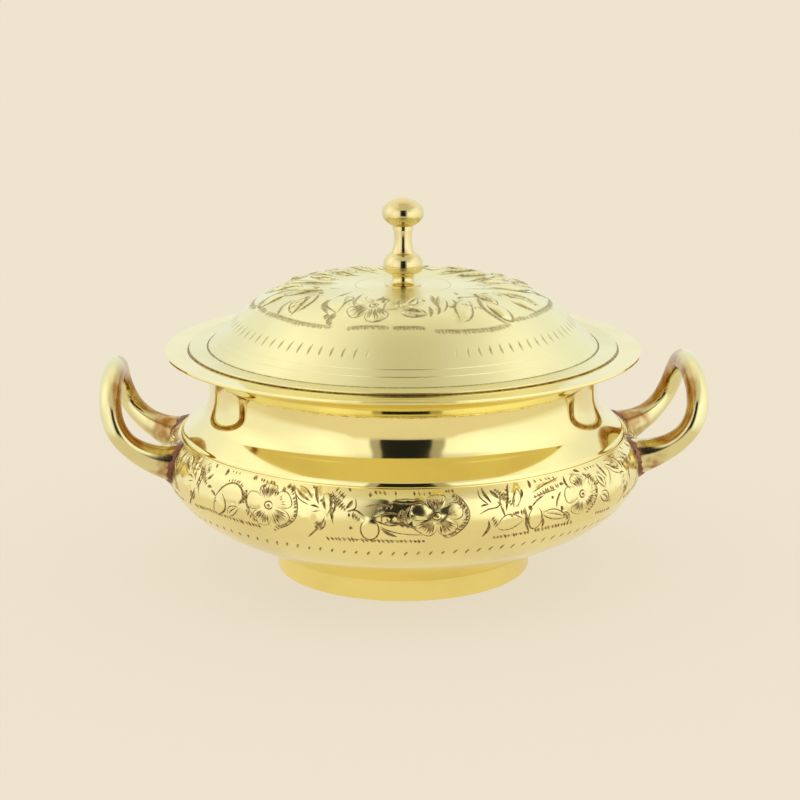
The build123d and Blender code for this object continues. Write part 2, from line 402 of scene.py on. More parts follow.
def run_tree(tree: NodeTree, source: Mesh, values: dict[str, object]) -> Mesh:
    """Run a Geometry Nodes tree on a mesh and keep its result as a plain mesh.

    Args:
        tree: The tree, whose first input is the geometry.
        source: The mesh that goes in.
        values: The tree's other inputs, by name.

    Returns:
        The result, with no modifier on it.
    """
    helper = add_object("helper", source)
    modifier = helper.modifiers.new("tree", "NODES")
    modifier.node_group = tree
    for item in tree.interface.items_tree:
        if item.in_out == "INPUT" and item.name in values:
            modifier[item.identifier] = values[item.name]
    graph = bpy.context.evaluated_depsgraph_get()
    made = bpy.data.meshes.new_from_object(helper.evaluated_get(graph), depsgraph=graph)
    bpy.data.objects.remove(helper)
    bpy.data.meshes.remove(source)
    return made


def shade(mesh: Mesh) -> None:
    """Turn the stored facing of each corner into the mesh's own normals, and drop the attribute.

    The facing is kept as its part away from the axis, its part round the axis and its part up.
    """
    facing = np.zeros(len(mesh.loops) * 3)
    mesh.attributes["facing"].data.foreach_get("vector", facing)
    out, along, up = facing.reshape(-1, 3).T
    spots = vertex_places(mesh)[corner_owners(mesh)]
    angle = np.arctan2(spots[:, 1], spots[:, 0])
    cos, sin = np.cos(angle), np.sin(angle)
    normals = unit(np.stack([out * cos - along * sin, out * sin + along * cos, up], 1))
    mesh.attributes.remove(mesh.attributes["facing"])
    mesh.shade_smooth()
    mesh.normals_split_custom_set(normals.tolist())


def spin(
    spots: Sequence[Spot], outside: Material, inside: Material | None = None, steps: int = STEPS_ROUND
) -> Mesh:
    """Turn an outline's spots round the axis.

    Args:
        spots: The spots, in order.
        outside: The finish of the outside.
        inside: The finish of the inside, or none for the same.
        steps: How many faces go round.

    Returns:
        A closed mesh, which still holds its facing attribute.
    """
    source = bpy.data.meshes.new("outline")
    source.from_pydata([(spot[0] * MM, 0.0, spot[1] * MM) for spot in spots], [], [])
    facing = [part for spot in spots for part in (spot[2], 0.0, spot[3])]
    store(source, "facing", "FLOAT_VECTOR", "POINT", facing)
    store(source, "inside", "FLOAT", "POINT", [spot[4] for spot in spots])
    values = {"Steps": steps, "Weld": WELD, "Outside": outside, "Inside": inside or outside}
    made = run_tree(spin_tree(), source, values)
    made.attributes.remove(made.attributes["inside"])
    return made


def finish_piece(name: str, mesh: Mesh, body: Body, replaced: Iterable[str]) -> None:
    """Put a finished mesh into the scene as a piece of the bowl.

    Args:
        name: The piece's name.
        mesh: Its mesh, in place, which may still hold its facing.
        body: The body that it rides on.
        replaced: The nodes that it stands for.
    """
    if "facing" in mesh.attributes:
        shade(mesh)
    mesh.name = name
    piece = add_object(name, mesh)
    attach(piece, body.value)
    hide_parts(*replaced)
    mesh.calc_loop_triangles()
    log.info("%s: %d triangles", name, len(mesh.loop_triangles))


# Finishes


@cache
def turning_marks() -> NodeTree:
    """Build the fine rings left by the lathe, broken up where the cut was light, as a height."""
    inputs = "Vector Vector, Rings Float, Breaks Float"
    wiring, given = new_tree("Shader", "turning marks", inputs, "Height Float")
    x, y, z = wiring.parts(given["Vector"])
    squares = wiring.math("ADD", wiring.math("MULTIPLY", x, x), wiring.math("MULTIPLY", y, y))
    flat = wiring.get("ShaderNodeCombineXYZ", {0: wiring.math("SQRT", squares), 1: z})
    inputs = {0: given["Vector"], 1: (0.012, 0.012, 0.0)}
    drift = wiring.get("ShaderNodeVectorMath", inputs, operation="MULTIPLY")
    joined = wiring.get("ShaderNodeVectorMath", {0: flat, 1: drift}, operation="ADD")
    rings = wiring.noise(joined, given["Rings"], 3.0)
    mask = wiring.span(wiring.noise(given["Vector"], given["Breaks"], 1.0), 0.35, 0.65, 0.35, 1.0)
    wiring.add("NodeGroupOutput", {"Height": wiring.math("MULTIPLY", rings, mask)})
    return wiring.tree


@cache
def handling_marks() -> NodeTree:
    """Build the faint smears from handling, as a mask, and the slow waviness of beaten metal."""
    inputs = "Vector Vector, Scale Float"
    wiring, given = new_tree("Shader", "handling marks", inputs, "Smear Float, Wave Float")
    smear = wiring.span(wiring.noise(given["Vector"], given["Scale"], 3.0), 0.42, 0.72, 0.0, 1.0)
    wave = wiring.noise(given["Vector"], wiring.math("MULTIPLY", given["Scale"], 0.6), 0.0)
    wiring.add("NodeGroupOutput", {"Smear": smear, "Wave": wave})
    return wiring.tree


@cache
def grime_and_shade_mask() -> NodeTree:
    """Build the mask that darkens the metal by the cut attribute, from its value, broken up by noise: dirt
    down in the engraved cuts, and painted shade in the creases, gaps and handle sides where that is stored.
    """
    inputs = "Cut Float, Vector Vector, Amount Float, Grain Float"
    wiring, given = new_tree("Shader", "dirt and painted shade mask", inputs, "Mask Float")
    rough = wiring.span(wiring.noise(given["Vector"], given["Grain"], 2.0), 0.3, 0.7, 0.6, 1.0)
    depth = wiring.span(given["Cut"], 0.05, 0.75, 0.0, 1.0)
    mask = wiring.math("MULTIPLY", wiring.math("MULTIPLY", depth, rough), given["Amount"])
    wiring.add("NodeGroupOutput", {"Mask": wiring.math("MINIMUM", mask, 1.0)})
    return wiring.tree


@dataclass(frozen=True)
class BrassFinish:
    """One finish of the brass, from mirror polish to bare spun metal."""

    name: str
    colour: Triple = (0.90, 0.80, 0.37)
    stain: Triple = (0.50, 0.36, 0.15)
    stain_share: float = 0.15
    roughness: float = 0.06
    smear_roughness: float = 0.05
    smear_scale: float = 26.0
    ring_scale: float = 2600.0
    ring_breaks: float = 35.0
    ring_height: float = 0.0
    wave_height: float = 0.0
    anisotropy: float = 0.0
    # The last four fields darken the colour where the cut attribute says so: dirt in the engraved cuts, and
    # painted shade in the creases and gaps of the neck and lid and on the handles' inner sides.
    grime_and_shade: float = 0.0
    grime_and_shade_colour: Triple = (0.19, 0.08, 0.018)
    grime_and_shade_rough: float = 0.35
    grime_and_shade_grain: float = 900.0

    def material(self) -> Material:
        """Build the finish's material."""
        made = bpy.data.materials.new(self.name)
        wiring = clean_nodes(made)
        place = wiring.add("ShaderNodeTexCoord").outputs["Object"]
        inputs = {"Vector": place, "Scale": self.smear_scale}
        marks = wiring.add("ShaderNodeGroup", inputs, node_tree=handling_marks()).outputs
        inputs = {"Vector": place, "Rings": self.ring_scale, "Breaks": self.ring_breaks}
        rings = wiring.get("ShaderNodeGroup", inputs, node_tree=turning_marks())
        tone = wiring.mix(wiring.math("MULTIPLY", marks["Smear"], self.stain_share), self.colour, self.stain)
        rough = wiring.math("MULTIPLY_ADD", marks["Smear"], self.smear_roughness, self.roughness)
        if self.ring_height:
            rough = wiring.math("MULTIPLY_ADD", rings, self.roughness * 0.4, rough)
        # Darken by the cut attribute: dirt in the cuts, and painted shade in creases, gaps and on the
        # handles' inner sides.
        if self.grime_and_shade:
            cut = wiring.add("ShaderNodeAttribute", attribute_name="cut").outputs["Fac"]
            inputs = {"Cut": cut, "Vector": place, "Amount": self.grime_and_shade, "Grain": self.grime_and_shade_grain}
            dirt = wiring.get("ShaderNodeGroup", inputs, node_tree=grime_and_shade_mask())
            tone = wiring.mix(dirt, tone, self.grime_and_shade_colour)
            rough = wiring.math("MULTIPLY_ADD", dirt, self.grime_and_shade_rough, rough)
        height = wiring.math("MULTIPLY", rings, self.ring_height)
        height = wiring.math("MULTIPLY_ADD", marks["Wave"], self.wave_height, height)
        bump = wiring.get("ShaderNodeBump", {"Strength": 1.0, "Distance": 1.0, "Height": height})
        inputs = {"Metallic": 1.0, "Base Color": tone, "Roughness": rough, "Normal": bump}
        if self.anisotropy:
            tangent = wiring.get("ShaderNodeTangent", direction_type="RADIAL", axis="Z")
            inputs |= {"Anisotropic": self.anisotropy, "Anisotropic Rotation": 0.25, "Tangent": tangent}
        shader = wiring.get("ShaderNodeBsdfPrincipled", inputs)
        wiring.add("ShaderNodeOutputMaterial", {0: shader})
        return made


class Finishes:
    """Every finish of the bowl, as materials."""

    def __init__(self) -> None:
        """Build the materials, one for each way that the metal is finished."""
        # The polished neck darkens by painted shade, with some dirt, in the rim's groove beside the lid's
        # brim, and by painted shade in the crease above the belly.
        self.polished = BrassFinish(
            "polished brass", roughness=0.05, ring_height=2e-7, wave_height=2e-5, grime_and_shade=1.0
        ).material()
        self.engraved = BrassFinish(
            "engraved brass",
            colour=(0.93, 0.83, 0.385),
            roughness=0.15,
            smear_roughness=0.08,
            wave_height=2e-5,
            grime_and_shade=1.0,
        ).material()
        # The brushed lid darkens by dirt in its engraving, and by painted shade in its crease and under its
        # brim's edge.
        self.brushed = BrassFinish(
            "brushed lid brass",
            colour=(0.84, 0.79, 0.43),
            roughness=0.28,
            ring_height=1.6e-6,
            anisotropy=0.65,
            grime_and_shade=0.85,
            grime_and_shade_colour=(0.31, 0.25, 0.09),
        ).material()
        self.satin = BrassFinish(
            "satin foot brass", colour=(0.97, 0.82, 0.29), roughness=0.2, ring_height=1e-6
        ).material()
        self.bare = BrassFinish(
            "bare spun brass", colour=(0.82, 0.68, 0.34), roughness=0.24, ring_height=1.5e-6
        ).material()
        # The cast handles' brown is painted shade and reflection of the bowl on their inner sides, and the
        # braze's stain at their roots.
        self.cast = BrassFinish(
            "cast handle brass",
            colour=(0.80, 0.73, 0.38),
            roughness=0.13,
            wave_height=7e-5,
            grime_and_shade=1.0,
            grime_and_shade_colour=(0.36, 0.15, 0.025),
            grime_and_shade_rough=0.1,
            grime_and_shade_grain=150.0,
        ).material()
        self.turned = BrassFinish(
            "turned knob brass", colour=(0.77, 0.66, 0.33), roughness=0.08, ring_height=2e-7
        ).material()
        self.braze = BrassFinish(
            "brazed joint",
            colour=(0.27, 0.125, 0.08),
            stain=(0.10, 0.035, 0.03),
            stain_share=0.9,
            roughness=0.32,
            smear_roughness=0.2,
            wave_height=2e-4,
        ).material()


# Engraving


# The marks of each repeat, one in a row: the Pattern method that makes it, its points as x,y in
# millimetres, its plain numbers, and then its options, each a letter of OPTIONS and a number.
OPTIONS = {"w": "width", "d": "depth", "t": "dirt", "r": "reach", "a": "angle", "g": "gap", "s": "side"}
OPTIONS |= {"v": "veins", "c": "crossed"}

FAN = """
slit .7,3 3.6,5.5 7.6,7.5 w1.2
cut 1.2,1.7 5,2.9 8.4,6.7
cut .6,4.6 3.2,7.3 7.4,9 w.32
slit 8.4,.8 9.4,4.2 11,8.4 w1.3
slit 6.9,1 8.2,2.6 w.9
slit 12.3,4.6 12.7,7.2 13.8,10 w1.25
cut 13.4,3.4 15.6,6 15.8,9 14.4,12
slit 7.6,8.9 11.4,9.7 w.7
cut 8.2,11.4 12,10.4 w.34
cut 14.8,2.4 16.8,5.5 17.2,9 16.2,12 16.8,15.2 w.55
slit 15.5,10.2 16.4,13.8 w1.2
patch 17.9 6.8 3.3 9 -50
hatch 16.8,1 20.4,4.4 r3.1 a75 g1.4 s.2
slit 21,.7 22.4,2.4 w1
cut 13.6,12.6 12.4,15.4 9.6,18.6 6.2,22 w.6 d.2
patch 11.3 16.2 3.4 3.6 -40
cut 13.8,13.6 13.4,16.2 11.4,18.3 w.42
pillow 4.6,5 4.2 1.9 -35 .3 .4
pillow 10,5.2 3.6 1.5 -65 .25 .4
pillow 14,7.8 4.4 1.9 -80 .3 .4
pillow 5.6,12.4 5.2 3.2 20 .35 .4
"""
ROUND_LEAF = """
slit 22,10.4 24.8,10.1 w1.2
slit 24.6,11.2 27.6,12.8 w1.2
slit 23.4,4.8 20.8,7.8 w1.4
cut 27,13.6 30,9.8 33.5,6.8 37.5,6 41,7.8 41.8,11 39.5,13.2 w.6
hatch 33,6.6 37.5,5.8 41.2,7.6 r1.8 a-80 g1.2
pillow 35.5,10.4 6.6 3.8 11.4592 .35 .2
cut 31.4,10.6 33.2,13.8 32.6,17.4 27.6,20.6 w.6 d.22
cut 27.2,13.4 26.5,17 25.8,19.6 w.45
hatch 28.4,12.8 28.6,15 r1.6 a60 g.98
pillow 29.6,16.2 3 4.4 0 .35 .3
slit 41.9,7.4 42.2,11 40.2,13.6 w1.1
slit 43.4,7.6 43.9,12 46.2,15.2 w1.1
patch 42.9 9.9 2.2 5.4 8
hatched_edge 44.2,13.4 47,16 49.6,17.2 r2 a70
leaf 34.2,19 40.4,14.6 1.7 .6 .6 .3
flower 54.2 11.2 10.2 8.5 -100 4
hatch 51.8,5.2 57.2,5.4 r3 a82 g.98 s.3
hatched_edge 62.8,2.2 65.6,8 66.2,13 63.4,16.9 58.4,19.8 56.6,21.4 s.5
nick 50.6 4.4 -70 2.6 1
nick 59.4 4.4 62 3.2 1
nick 61 2.6 80 2.8 1
nick 63 3.4 88 3.2 1
slit 29,.9 29.8,4.2 w1.5
patch 44.6 1.8 2.8 1.6 60
hatch 47,1 50,1.2 54,1.4 r2.2 a70 g1.5
hatch 31.5,.9 36.5,.9 r1.5 a70 g1.7
border 12,20.2 24,19.4 38,20 50.5,20.2
"""
BLADES = """
slit 23.6,5.8 21.2,9 w1.45
cut 24.4,4.8 24.8,8.6 21.4,10.4
cut 22,9.8 25,9.5 28.2,11.6 w.5
hatch 22,10 24.8,10.2 27.6,12.4 r2.7 a88 g1.2 w.5
slit 22.5,15.9 23.8,16.5 w1.25
round_leaf 30 16.5 3.3 4.1
slit 30.4,11.1 32,12.3 w1.5
cut 31.6,12 36,10.2 40.4,10.4 w.5
cut 31.6,12.8 37,14.6 41.4,14 w.5
hatch 33.5,12.6 39.5,13 r2.2 a70 g1.8 s0
cut 27.8,8.2 33,7 38.4,8 w.45
hatch 31.5,9.4 39,8.6 r2 a-60 g1.7
leaf 33.2,14.6 49.4,18.4 2 .7 0 .34
slit 33.8,15.7 36.6,17.8 40,19.2 w1.25
leaf 37.6,6 50.6,6.1 .95 .2 0 .25
cut 41.4,8.8 40.3,11.6 42.4,14.8 w.55
cut 44.4,7.6 42.7,10.8 43.6,14.4 w.7
patch 41.9 11.4 1.6 5 0 c0
pillow 36.2,11.6 4.6 1.5 0 .25 .4
flower 54 11.4 9.8 8.2 -90 4
hatched_edge 60.4,2.4 64,6.4 65.9,10.6 65,14.6 61,18.6 57.4,20.4 r2.3 s.45
hatch 59.6,3.8 62.2,7.2 63.6,10 r3 a-75 g1.4 s.1
nick 29.8 3.2 88 3 .6
nick 39.2 2.5 86 3 .55
hatch 30.8,.9 35.4,1.3 r2.4 a65 g1.4 w.5
hatch 44.6,1.2 52,1.4 r2.6 a75 g2.1 w.5
hatch 57.2,.9 61,1 r2 a75 g1.3 w.5
border 13.2,21.3 22,20.9 31,20.9 40,21 50.6,21
"""
SPRAY = """
slit 2,1 2.3,4.5 4.6,8.2 w1.25
slit 4.8,2.8 6,4.7 7.6,6.8 w1.5
cut .4,1.8 .4,5.6 3.6,8.6
slit .2,8.9 3.3,8.5 w.8
cut -.6,11.8 3,10.2 7.4,9.2 8.2,3 w.4
patch 9.6 6.2 3.3 9 -40
slit 7.8,9 8.6,11 9.4,13.4 w.9
cut 13.3,.8 11.8,3.6 11,7 9.8,11.8 w.7 d.2
leaf 13.2,10.6 15.8,3.4 1.5 -.4 0 .34
slit 17.5,4 16.3,7.9 w1.2
slit 22.1,.8 21.3,4.5 w1.3
hatch 10.6,12.8 13.4,11.6 17,11.6 r2.4 a85 g1.2 w.5
slit 17.4,10.8 18.2,15.5 18.4,18.2 20.3,21.6 w1.2
slit 3,14.1 3.1,17.4 .8,21 w1.25
hatch 4.4,13.4 6.4,16.8 r2.6 a70 g1 s0
leaf 6.2,17.4 17.2,15.6 2.9 .8 0 .4
round_leaf 22 16 2.9 4.3
slit 24.4,15.2 25.8,18.6 25.3,20.6 w1.2
slit 19.2,10.8 20.2,12.6 w1.5
cut 20,11.7 23.4,9.2 26.6,8 w.5
leaf 25,14.6 37.4,18.3 1.9 .4 .5 .3
cut 21.4,6.4 29,3.8 36.6,2.2 w.45
cut 21.2,8.3 27,7.2 33,6.8 w.4
hatch 21.8,7.4 28,5.9 35.4,4.6 r2.4 a78 g1.3 s.3 w.48
slit 35.5,5.3 36.9,5 w1.3
pillow 29,5 8 1.5 11.4592 .3 .2
slit 38.9,2.1 37.9,5.4 39.7,8 w1.2
slit 29.6,9.5 30.8,9.6 w1.2
cut 34.6,7.8 32.4,10.4 31.5,13.4 w.7
slit 33.6,13.2 34.4,15.4 w1.3
hatched_edge 34.6,15.8 37.2,16.6 39,19.4 r2 a60
flower 45.2 10.9 9.2 8 -100 4
hatched_edge 48.6,2.6 52.4,7 54,11 52.6,15.4 48.4,19.6 s.45
hatch 50.2,4 54.2,9.6 r3.2 a-70 g1.5 s.2
slit 45.2,1.2 48.4,2.4 w1.4
slit 60.2,1.1 60.5,4.6 62,8.2 w1.4
leaf 55.4,5.2 59.4,11.8 1.9 .4 .9 .3
leaf 55.6,13 62.4,17.6 2 .4 .7 .34
hatch 59.6,14.4 63.6,16.6 r2.7 a70 g1.3
cut 63.6,3.4 64.6,7 62.6,11.6 w.45
hatch 24,1 34,1 r1.8 a70 g2.2 w.45
hatch 51,1 58.6,1 r2 a75 g1.8 w.45
border 4.6,21.6 12,21.6 20.2,21.4
border 21.8,21.2 31,21 40.6,21.4
border 54,20.6 60,21.4 64.4,21.4
"""
LID_BELL = """
slit 13,.6 17.4,5.6 21.4,11.6 w1.2 t.7
slit 20.4,12.6 24.4,17 31.4,20.8 w1.4 t.8
slit 25.6,.5 32,6.4 36.4,12.2 40.6,15.2 w1.2 t.7
slit .5,9 3.4,9 7,10.4 w1.4 t.8
cut 7,14.8 11.8,16.8 14.6,20.6 15.2,24.4 w.7 t.8
cut 3.6,18 4.6,21.6 8.6,25.2 w.8 t.8
hatch 7,14.8 11.8,16.8 14.8,20.6 r2.1 a-60 g1.4 t.6
pillow 9.6,20.4 4.8 4.6 0 .3 0
leaf 16.4,23.2 7.6,10.6 3.9 .4 .5 .28 v4
leaf 21.4,7 35,20 5.2 .9 0 .3 v5
slit 33.2,20.2 34.8,22.8 w1.6 t.8
hatched_edge 30.4,20.4 33,22 35.6,23.6 r1.6
flower 48.8 13.2 12.8 9.6 -78 1
slit 46.2,1 50.4,5.4 52.6,11.6 w2 d.3 t.75
slit 48,16.8 49.4,21.4 w.9 t.7
cut 35.2,3 37.6,6.4 41.4,6.2 w.5 t.7
cut 54.2,4.8 54.6,12 54.2,18 w.6 t.7
lid_border .5,24.9 14,25 26,25.3 37,24.9
lid_border 42.8,25 50,24.2 58.2,24
"""
LID_LEAVES = """
slit 3.4,4.4 2.2,9 2,14 w1.1 t.8
hatch 5.2,15.2 9.6,16.2 14.4,15.4 r2.3 a80 g1.3 t.7
leaf 3.6,17.4 15.4,19.2 2.6 .6 1.3 .34
slit 17.8,5.4 17.3,9.2 w1.2 t.7
slit 17.7,13.8 15.9,20.6 w1.2 t.8
slit 30.4,.6 25.2,6 22.4,11.4 22.2,14.8 w2 d.3 t.75
cut 22.2,14.6 21,17.6 19.4,19.4 w.6 t.8
leaf 21.4,18.6 34,3.2 2.4 .8 0 .3 v6
cut 35.6,8.6 32.6,13.4 27.4,16 w.7 t.8
slit 27.2,15.2 29.8,16.2 w1.4 t.8
leaf 6,13 14.4,2.6 3.2 -.6 .6 .34 v4
slit 39.2,10.2 43.2,7.6 50.2,9.6 53.2,10.6 w1.3 t.8
cut 50.6,11.4 45.2,15 42.4,19.2 44,24 46.4,26.2 w.9 d.2 t.85
round_leaf 48.6 20.8 3.6 4.6
hatch 33.4,14.8 38,16.4 42.4,17 r2.1 a80 g1.4 t.7
leaf 27.4,23.4 41.2,11.6 3.4 .9 0 .36
leaf 50.8,18.4 58,7 2.9 .5 .6 .34 v4
slit 53.6,1.2 47.6,4.4 w1.2 t.7
lid_border .5,24.2 5,24.2 12.6,24.2
lid_border 15.4,25.2 24.8,26 38,26.3 46,25.6
lid_border 50,24.8 58.2,24.9
"""

# The edge of a petal, as degrees from its middle and shares of its reach.
PETAL_EDGE = ((-34, 0.46), (-31, 0.74), (-19, 0.95), (0, 1.0), (19, 0.95), (31, 0.74), (34, 0.46))
# A petal's gouges: how many, degrees between them, width, dirt, and where they start and end.
STRONG_GOUGES = (7, 8, 0.62, 1.0, (0.28, 0.4), (0.84, 0.98))
FAINT_GOUGES = (4, 12, 0.4, 0.6, (0.48, 0.56), (0.7, 0.8))
STRONG_PETALS = (0, 2, 3)


@dataclass(frozen=True)
class Cut:
    """One cut of the graver on the unrolled metal, pointed at both ends."""

    line: tuple[Point, ...]
    width: float
    depth: float
    dirt: float
    lens: bool

    def half_widths(self) -> np.ndarray:
        """Return half the cut's width at each point of its line."""
        along = lengths(np.array(self.line))
        share = along / along[-1]
        if self.lens:
            form = np.sin(math.pi * share) ** 0.75
        else:
            form = np.clip(np.minimum(share, 1 - share) / 0.22, 0, 1) ** 0.6
        return np.maximum(form, 0.0) * self.width / 2


@dataclass(frozen=True)
class Pillow:
    """A form raised by chasing, an oval on the unrolled metal, with a crease along its middle."""

    centre: Point
    half_length: float
    half_width: float
    lean: float
    height: float
    crease: float

    def rise(self, points: np.ndarray) -> np.ndarray:
        """Return how far the form lifts the metal at points, in millimetres."""
        offset = points - np.array(self.centre)
        cos, sin = math.cos(self.lean), math.sin(self.lean)
        along = (offset[:, 0] * cos + offset[:, 1] * sin) / self.half_length
        across = (offset[:, 1] * cos - offset[:, 0] * sin) / self.half_width
        share = np.clip(1 - along**2 - across**2, 0, 1)
        valley = self.crease * np.exp(-((across * 3.2) ** 2))
        return self.height * share**0.7 * (1 - valley)


def between(before: float, here: float, there: float, after: float, t: float) -> float:
    """Return a smooth line's value at the share t of the way from here to there."""
    bend = 2 * before - 5 * here + 4 * there - after
    twist = 3 * here - before - 3 * there + after
    return 0.5 * (2 * here + (there - before) * t + bend * t * t + twist * t**3)


def smooth(points: Sequence[Point], pieces: int) -> list[Point]:
    """Pass a smooth line through points, with that many pieces between two of them."""
    if len(points) < 3:
        return list(points)
    ends = [points[0], *points, points[-1]]
    line: list[Point] = [points[0]]
    for near in zip(ends, ends[1:], ends[2:], ends[3:]):
        for step in range(1, pieces + 1):
            line.append(tuple(between(*values, step / pieces) for values in zip(*near)))
    return line


@dataclass
class Pattern:
    """The cuts and raised forms of one repeat of an engraved band.

    Its x runs round the bowl to the right and its y down or outwards from the band's upper line.

    Args:
        top: Height that y is measured down from.
        seed: Seed of its small irregularities.
        bold: How much wider its cuts are than drawn.
        rise: How much higher its raised forms are than drawn.
        stretch: How much longer it is down or outwards than drawn.
    """

    top: float
    seed: int
    bold: float
    rise: float
    stretch: float = 1.0
    shift: float = 0.0
    cuts: list[Cut] = field(default_factory=list)
    pillows: list[Pillow] = field(default_factory=list)

    def __post_init__(self) -> None:
        """Seed the irregularities."""
        self.chance = random.Random(self.seed)

    def at(self, x: float, y: float) -> Point:
        """Return a place of the present module on the unrolled metal."""
        return (self.shift + x, self.top - y * self.stretch)

    def draw(self, shift: float, marks: str) -> None:
        """Make the marks of a table in order, from x = shift on."""
        self.shift = shift
        for name, *words in map(str.split, filter(None, marks.splitlines())):
            values: list[Point | float] = []
            options: dict[str, float] = {}
            for word in words:
                if word[0] in OPTIONS:
                    options[OPTIONS[word[0]]] = float(word[1:])
                elif "," in word:
                    values.append(tuple(map(float, word.split(","))))
                else:
                    values.append(float(word))
            getattr(self, name)(*values, **options)
        self.shift = 0.0

    def cut(self, *points: Point, width: float = 0.42, depth: float = 0.16, dirt: float = 1.0) -> None:
        """Cut a line of even width through points."""
        line = smooth([self.at(*point) for point in points], 4)
        if len(line) == 2:
            line.insert(1, tuple((a + b) / 2 for a, b in zip(*line)))
        self.cuts.append(Cut(tuple(line), width * self.bold, depth, dirt, False))

    def slit(self, *points: Point, width: float = 1.1, depth: float = 0.3, dirt: float = 1.0) -> None:
        """Cut a deep slit through points, widest in its middle; one through two points is bowed."""
        if len(points) == 2:
            (x0, y0), (x1, y1) = points
            bow = 0.08
            middle = ((x0 + x1) / 2 + (y1 - y0) * bow, (y0 + y1) / 2 - (x1 - x0) * bow)
            points = (points[0], middle, points[1])
        line = smooth([self.at(*point) for point in points], 4)
        self.cuts.append(Cut(tuple(line), width * self.bold * 0.78, depth, dirt, True))

    def nick(self, x: float, y: float, angle: float, length: float, width: float, dirt: float = 1.0) -> None:
        """Cut one short straight nick, centred on a point."""
        turn = math.radians(angle)
        reach = (math.cos(turn) * length / 2, math.sin(turn) * length / 2)
        places = (self.at(x - reach[0], y - reach[1]), self.at(x, y), self.at(x + reach[0], y + reach[1]))
        self.cuts.append(Cut(places, width * self.bold * self.chance.uniform(1.3, 1.9), 0.15, dirt, True))

    def stroke(self, x: float, y: float, angle: float, length: float, **look: float) -> None:
        """Cut one slit of that length, centred on a point."""
        turn = math.radians(angle)
        reach = (math.cos(turn) * length / 2, math.sin(turn) * length / 2)
        self.slit((x - reach[0], y - reach[1]), (x + reach[0], y + reach[1]), **look)

    def hatch(
        self,
        *points: Point,
        reach: float,
        angle: float,
        gap: float = 1.2,
        side: float = 0.5,
        width: float = 0.36,
        dirt: float = 1.0,
    ) -> None:
        """Cut a row of short nicks along a line.

        Args:
            points: The line that they follow.
            reach: The nicks' length.
            angle: How far they are turned from the line, in degrees.
            gap: The distance from one to the next.
            side: Where their centres lie beside the line, as a share of reach.
            width: The nicks' width.
            dirt: How dark they are.
        """
        line = np.array(smooth(points, 6))
        steps = np.diff(line, axis=0)
        along = lengths(line)
        for place in np.arange(gap / 2, along[-1], gap):
            place += self.chance.uniform(-0.22, 0.22) * gap
            x, y = (float(np.interp(place, along, line[:, k])) for k in (0, 1))
            k = min(int(np.searchsorted(along, place)), len(steps)) - 1
            heading = math.degrees(math.atan2(steps[k][1], steps[k][0]))
            turn = heading + angle + self.chance.uniform(-10, 10)
            length = reach * self.chance.uniform(0.7, 1.3)
            off = math.radians(turn)
            x += math.cos(off) * reach * side
            y += math.sin(off) * reach * side
            self.nick(x, y, turn, length, width, dirt)

    def pillow(self, at: Point, long: float, wide: float, lean: float, height: float, crease: float) -> None:
        """Raise an oval of those half sizes, leaning by degrees."""
        self.pillows.append(Pillow(self.at(*at), long, wide, math.radians(lean), height, crease))

    def leaf(
        self, base: Point, tip: Point, half: float, bow: float, rib: float, rise: float, veins: float = 0
    ) -> None:
        """Chase a pointed leaf.

        Args:
            base: Where it starts.
            tip: Its point.
            half: Half its width.
            bow: How far its middle is pushed to its left.
            rib: Width of the slit along its middle, or none.
            rise: Height of its raised sides.
            veins: Number of fine nicks on one side of the rib.
        """
        (x0, y0), (x1, y1) = base, tip
        length = math.hypot(x1 - x0, y1 - y0)
        ux, uy = (x1 - x0) / length, (y1 - y0) / length

        def spot(share: float, off: float) -> Point:
            """Return a place by its share of the leaf's length and its distance from the middle."""
            side = off + bow * 4 * share * (1 - share)
            return (x0 + ux * length * share + uy * side, y0 + uy * length * share - ux * side)

        shares = (0.02, 0.2, 0.42, 0.65, 0.85, 1.0)
        for sign in (-1, 1):
            edge = [spot(t, sign * half * math.sin(math.pi * t**0.8)) for t in shares]
            self.cut(*edge, width=0.38, depth=0.14)
        if rib:
            self.slit(spot(0.12, 0), spot(0.45, 0.1), spot(0.82, 0), width=rib, depth=0.22)
        for k in range(int(veins)):
            share = 0.2 + 0.6 * (k + 0.5) / veins
            self.nick(*spot(share, half * 0.5), math.degrees(math.atan2(uy, ux)) + 38, half * 0.8, 0.28, 0.8)
        ends = (self.at(*base), self.at(*tip))
        lean = math.atan2(ends[1][1] - ends[0][1], ends[1][0] - ends[0][0])
        half_length = math.dist(*ends) * 0.52
        crease = 0.75 if rib else 0.35
        self.pillows.append(Pillow(self.at(*spot(0.5, 0)), half_length, half * 1.05, lean, rise, crease))

    def round_leaf(self, x: float, y: float, half_width: float, half_height: float) -> None:
        """Chase a smooth round leaf with a strong outline, open at its top."""
        turns = np.radians(np.linspace(-65, 245, 9))
        edge = [(x + half_width * math.cos(t), y + half_height * math.sin(t)) for t in turns]
        self.cut(*edge, width=0.5, depth=0.2)
        self.pillow((x, y), half_width * 1.02, half_height * 1.02, 0.0, 0.3, 0.0)

    def flower(self, x: float, y: float, wide: float, tall: float, lean: float, smooth_petal: float) -> None:
        """Chase a five-petalled flower.

        Args:
            x: Its centre.
            y: Its centre.
            wide: Half its width.
            tall: Half its height.
            lean: How far it is turned, in degrees.
            smooth_petal: The number of the petal that has no gouges.
        """

        def spot(turn: float, share: float) -> Point:
            """Return a place by its direction from the centre and its share of the flower's reach."""
            return (x + wide * share * math.cos(turn), y + tall * share * math.sin(turn))

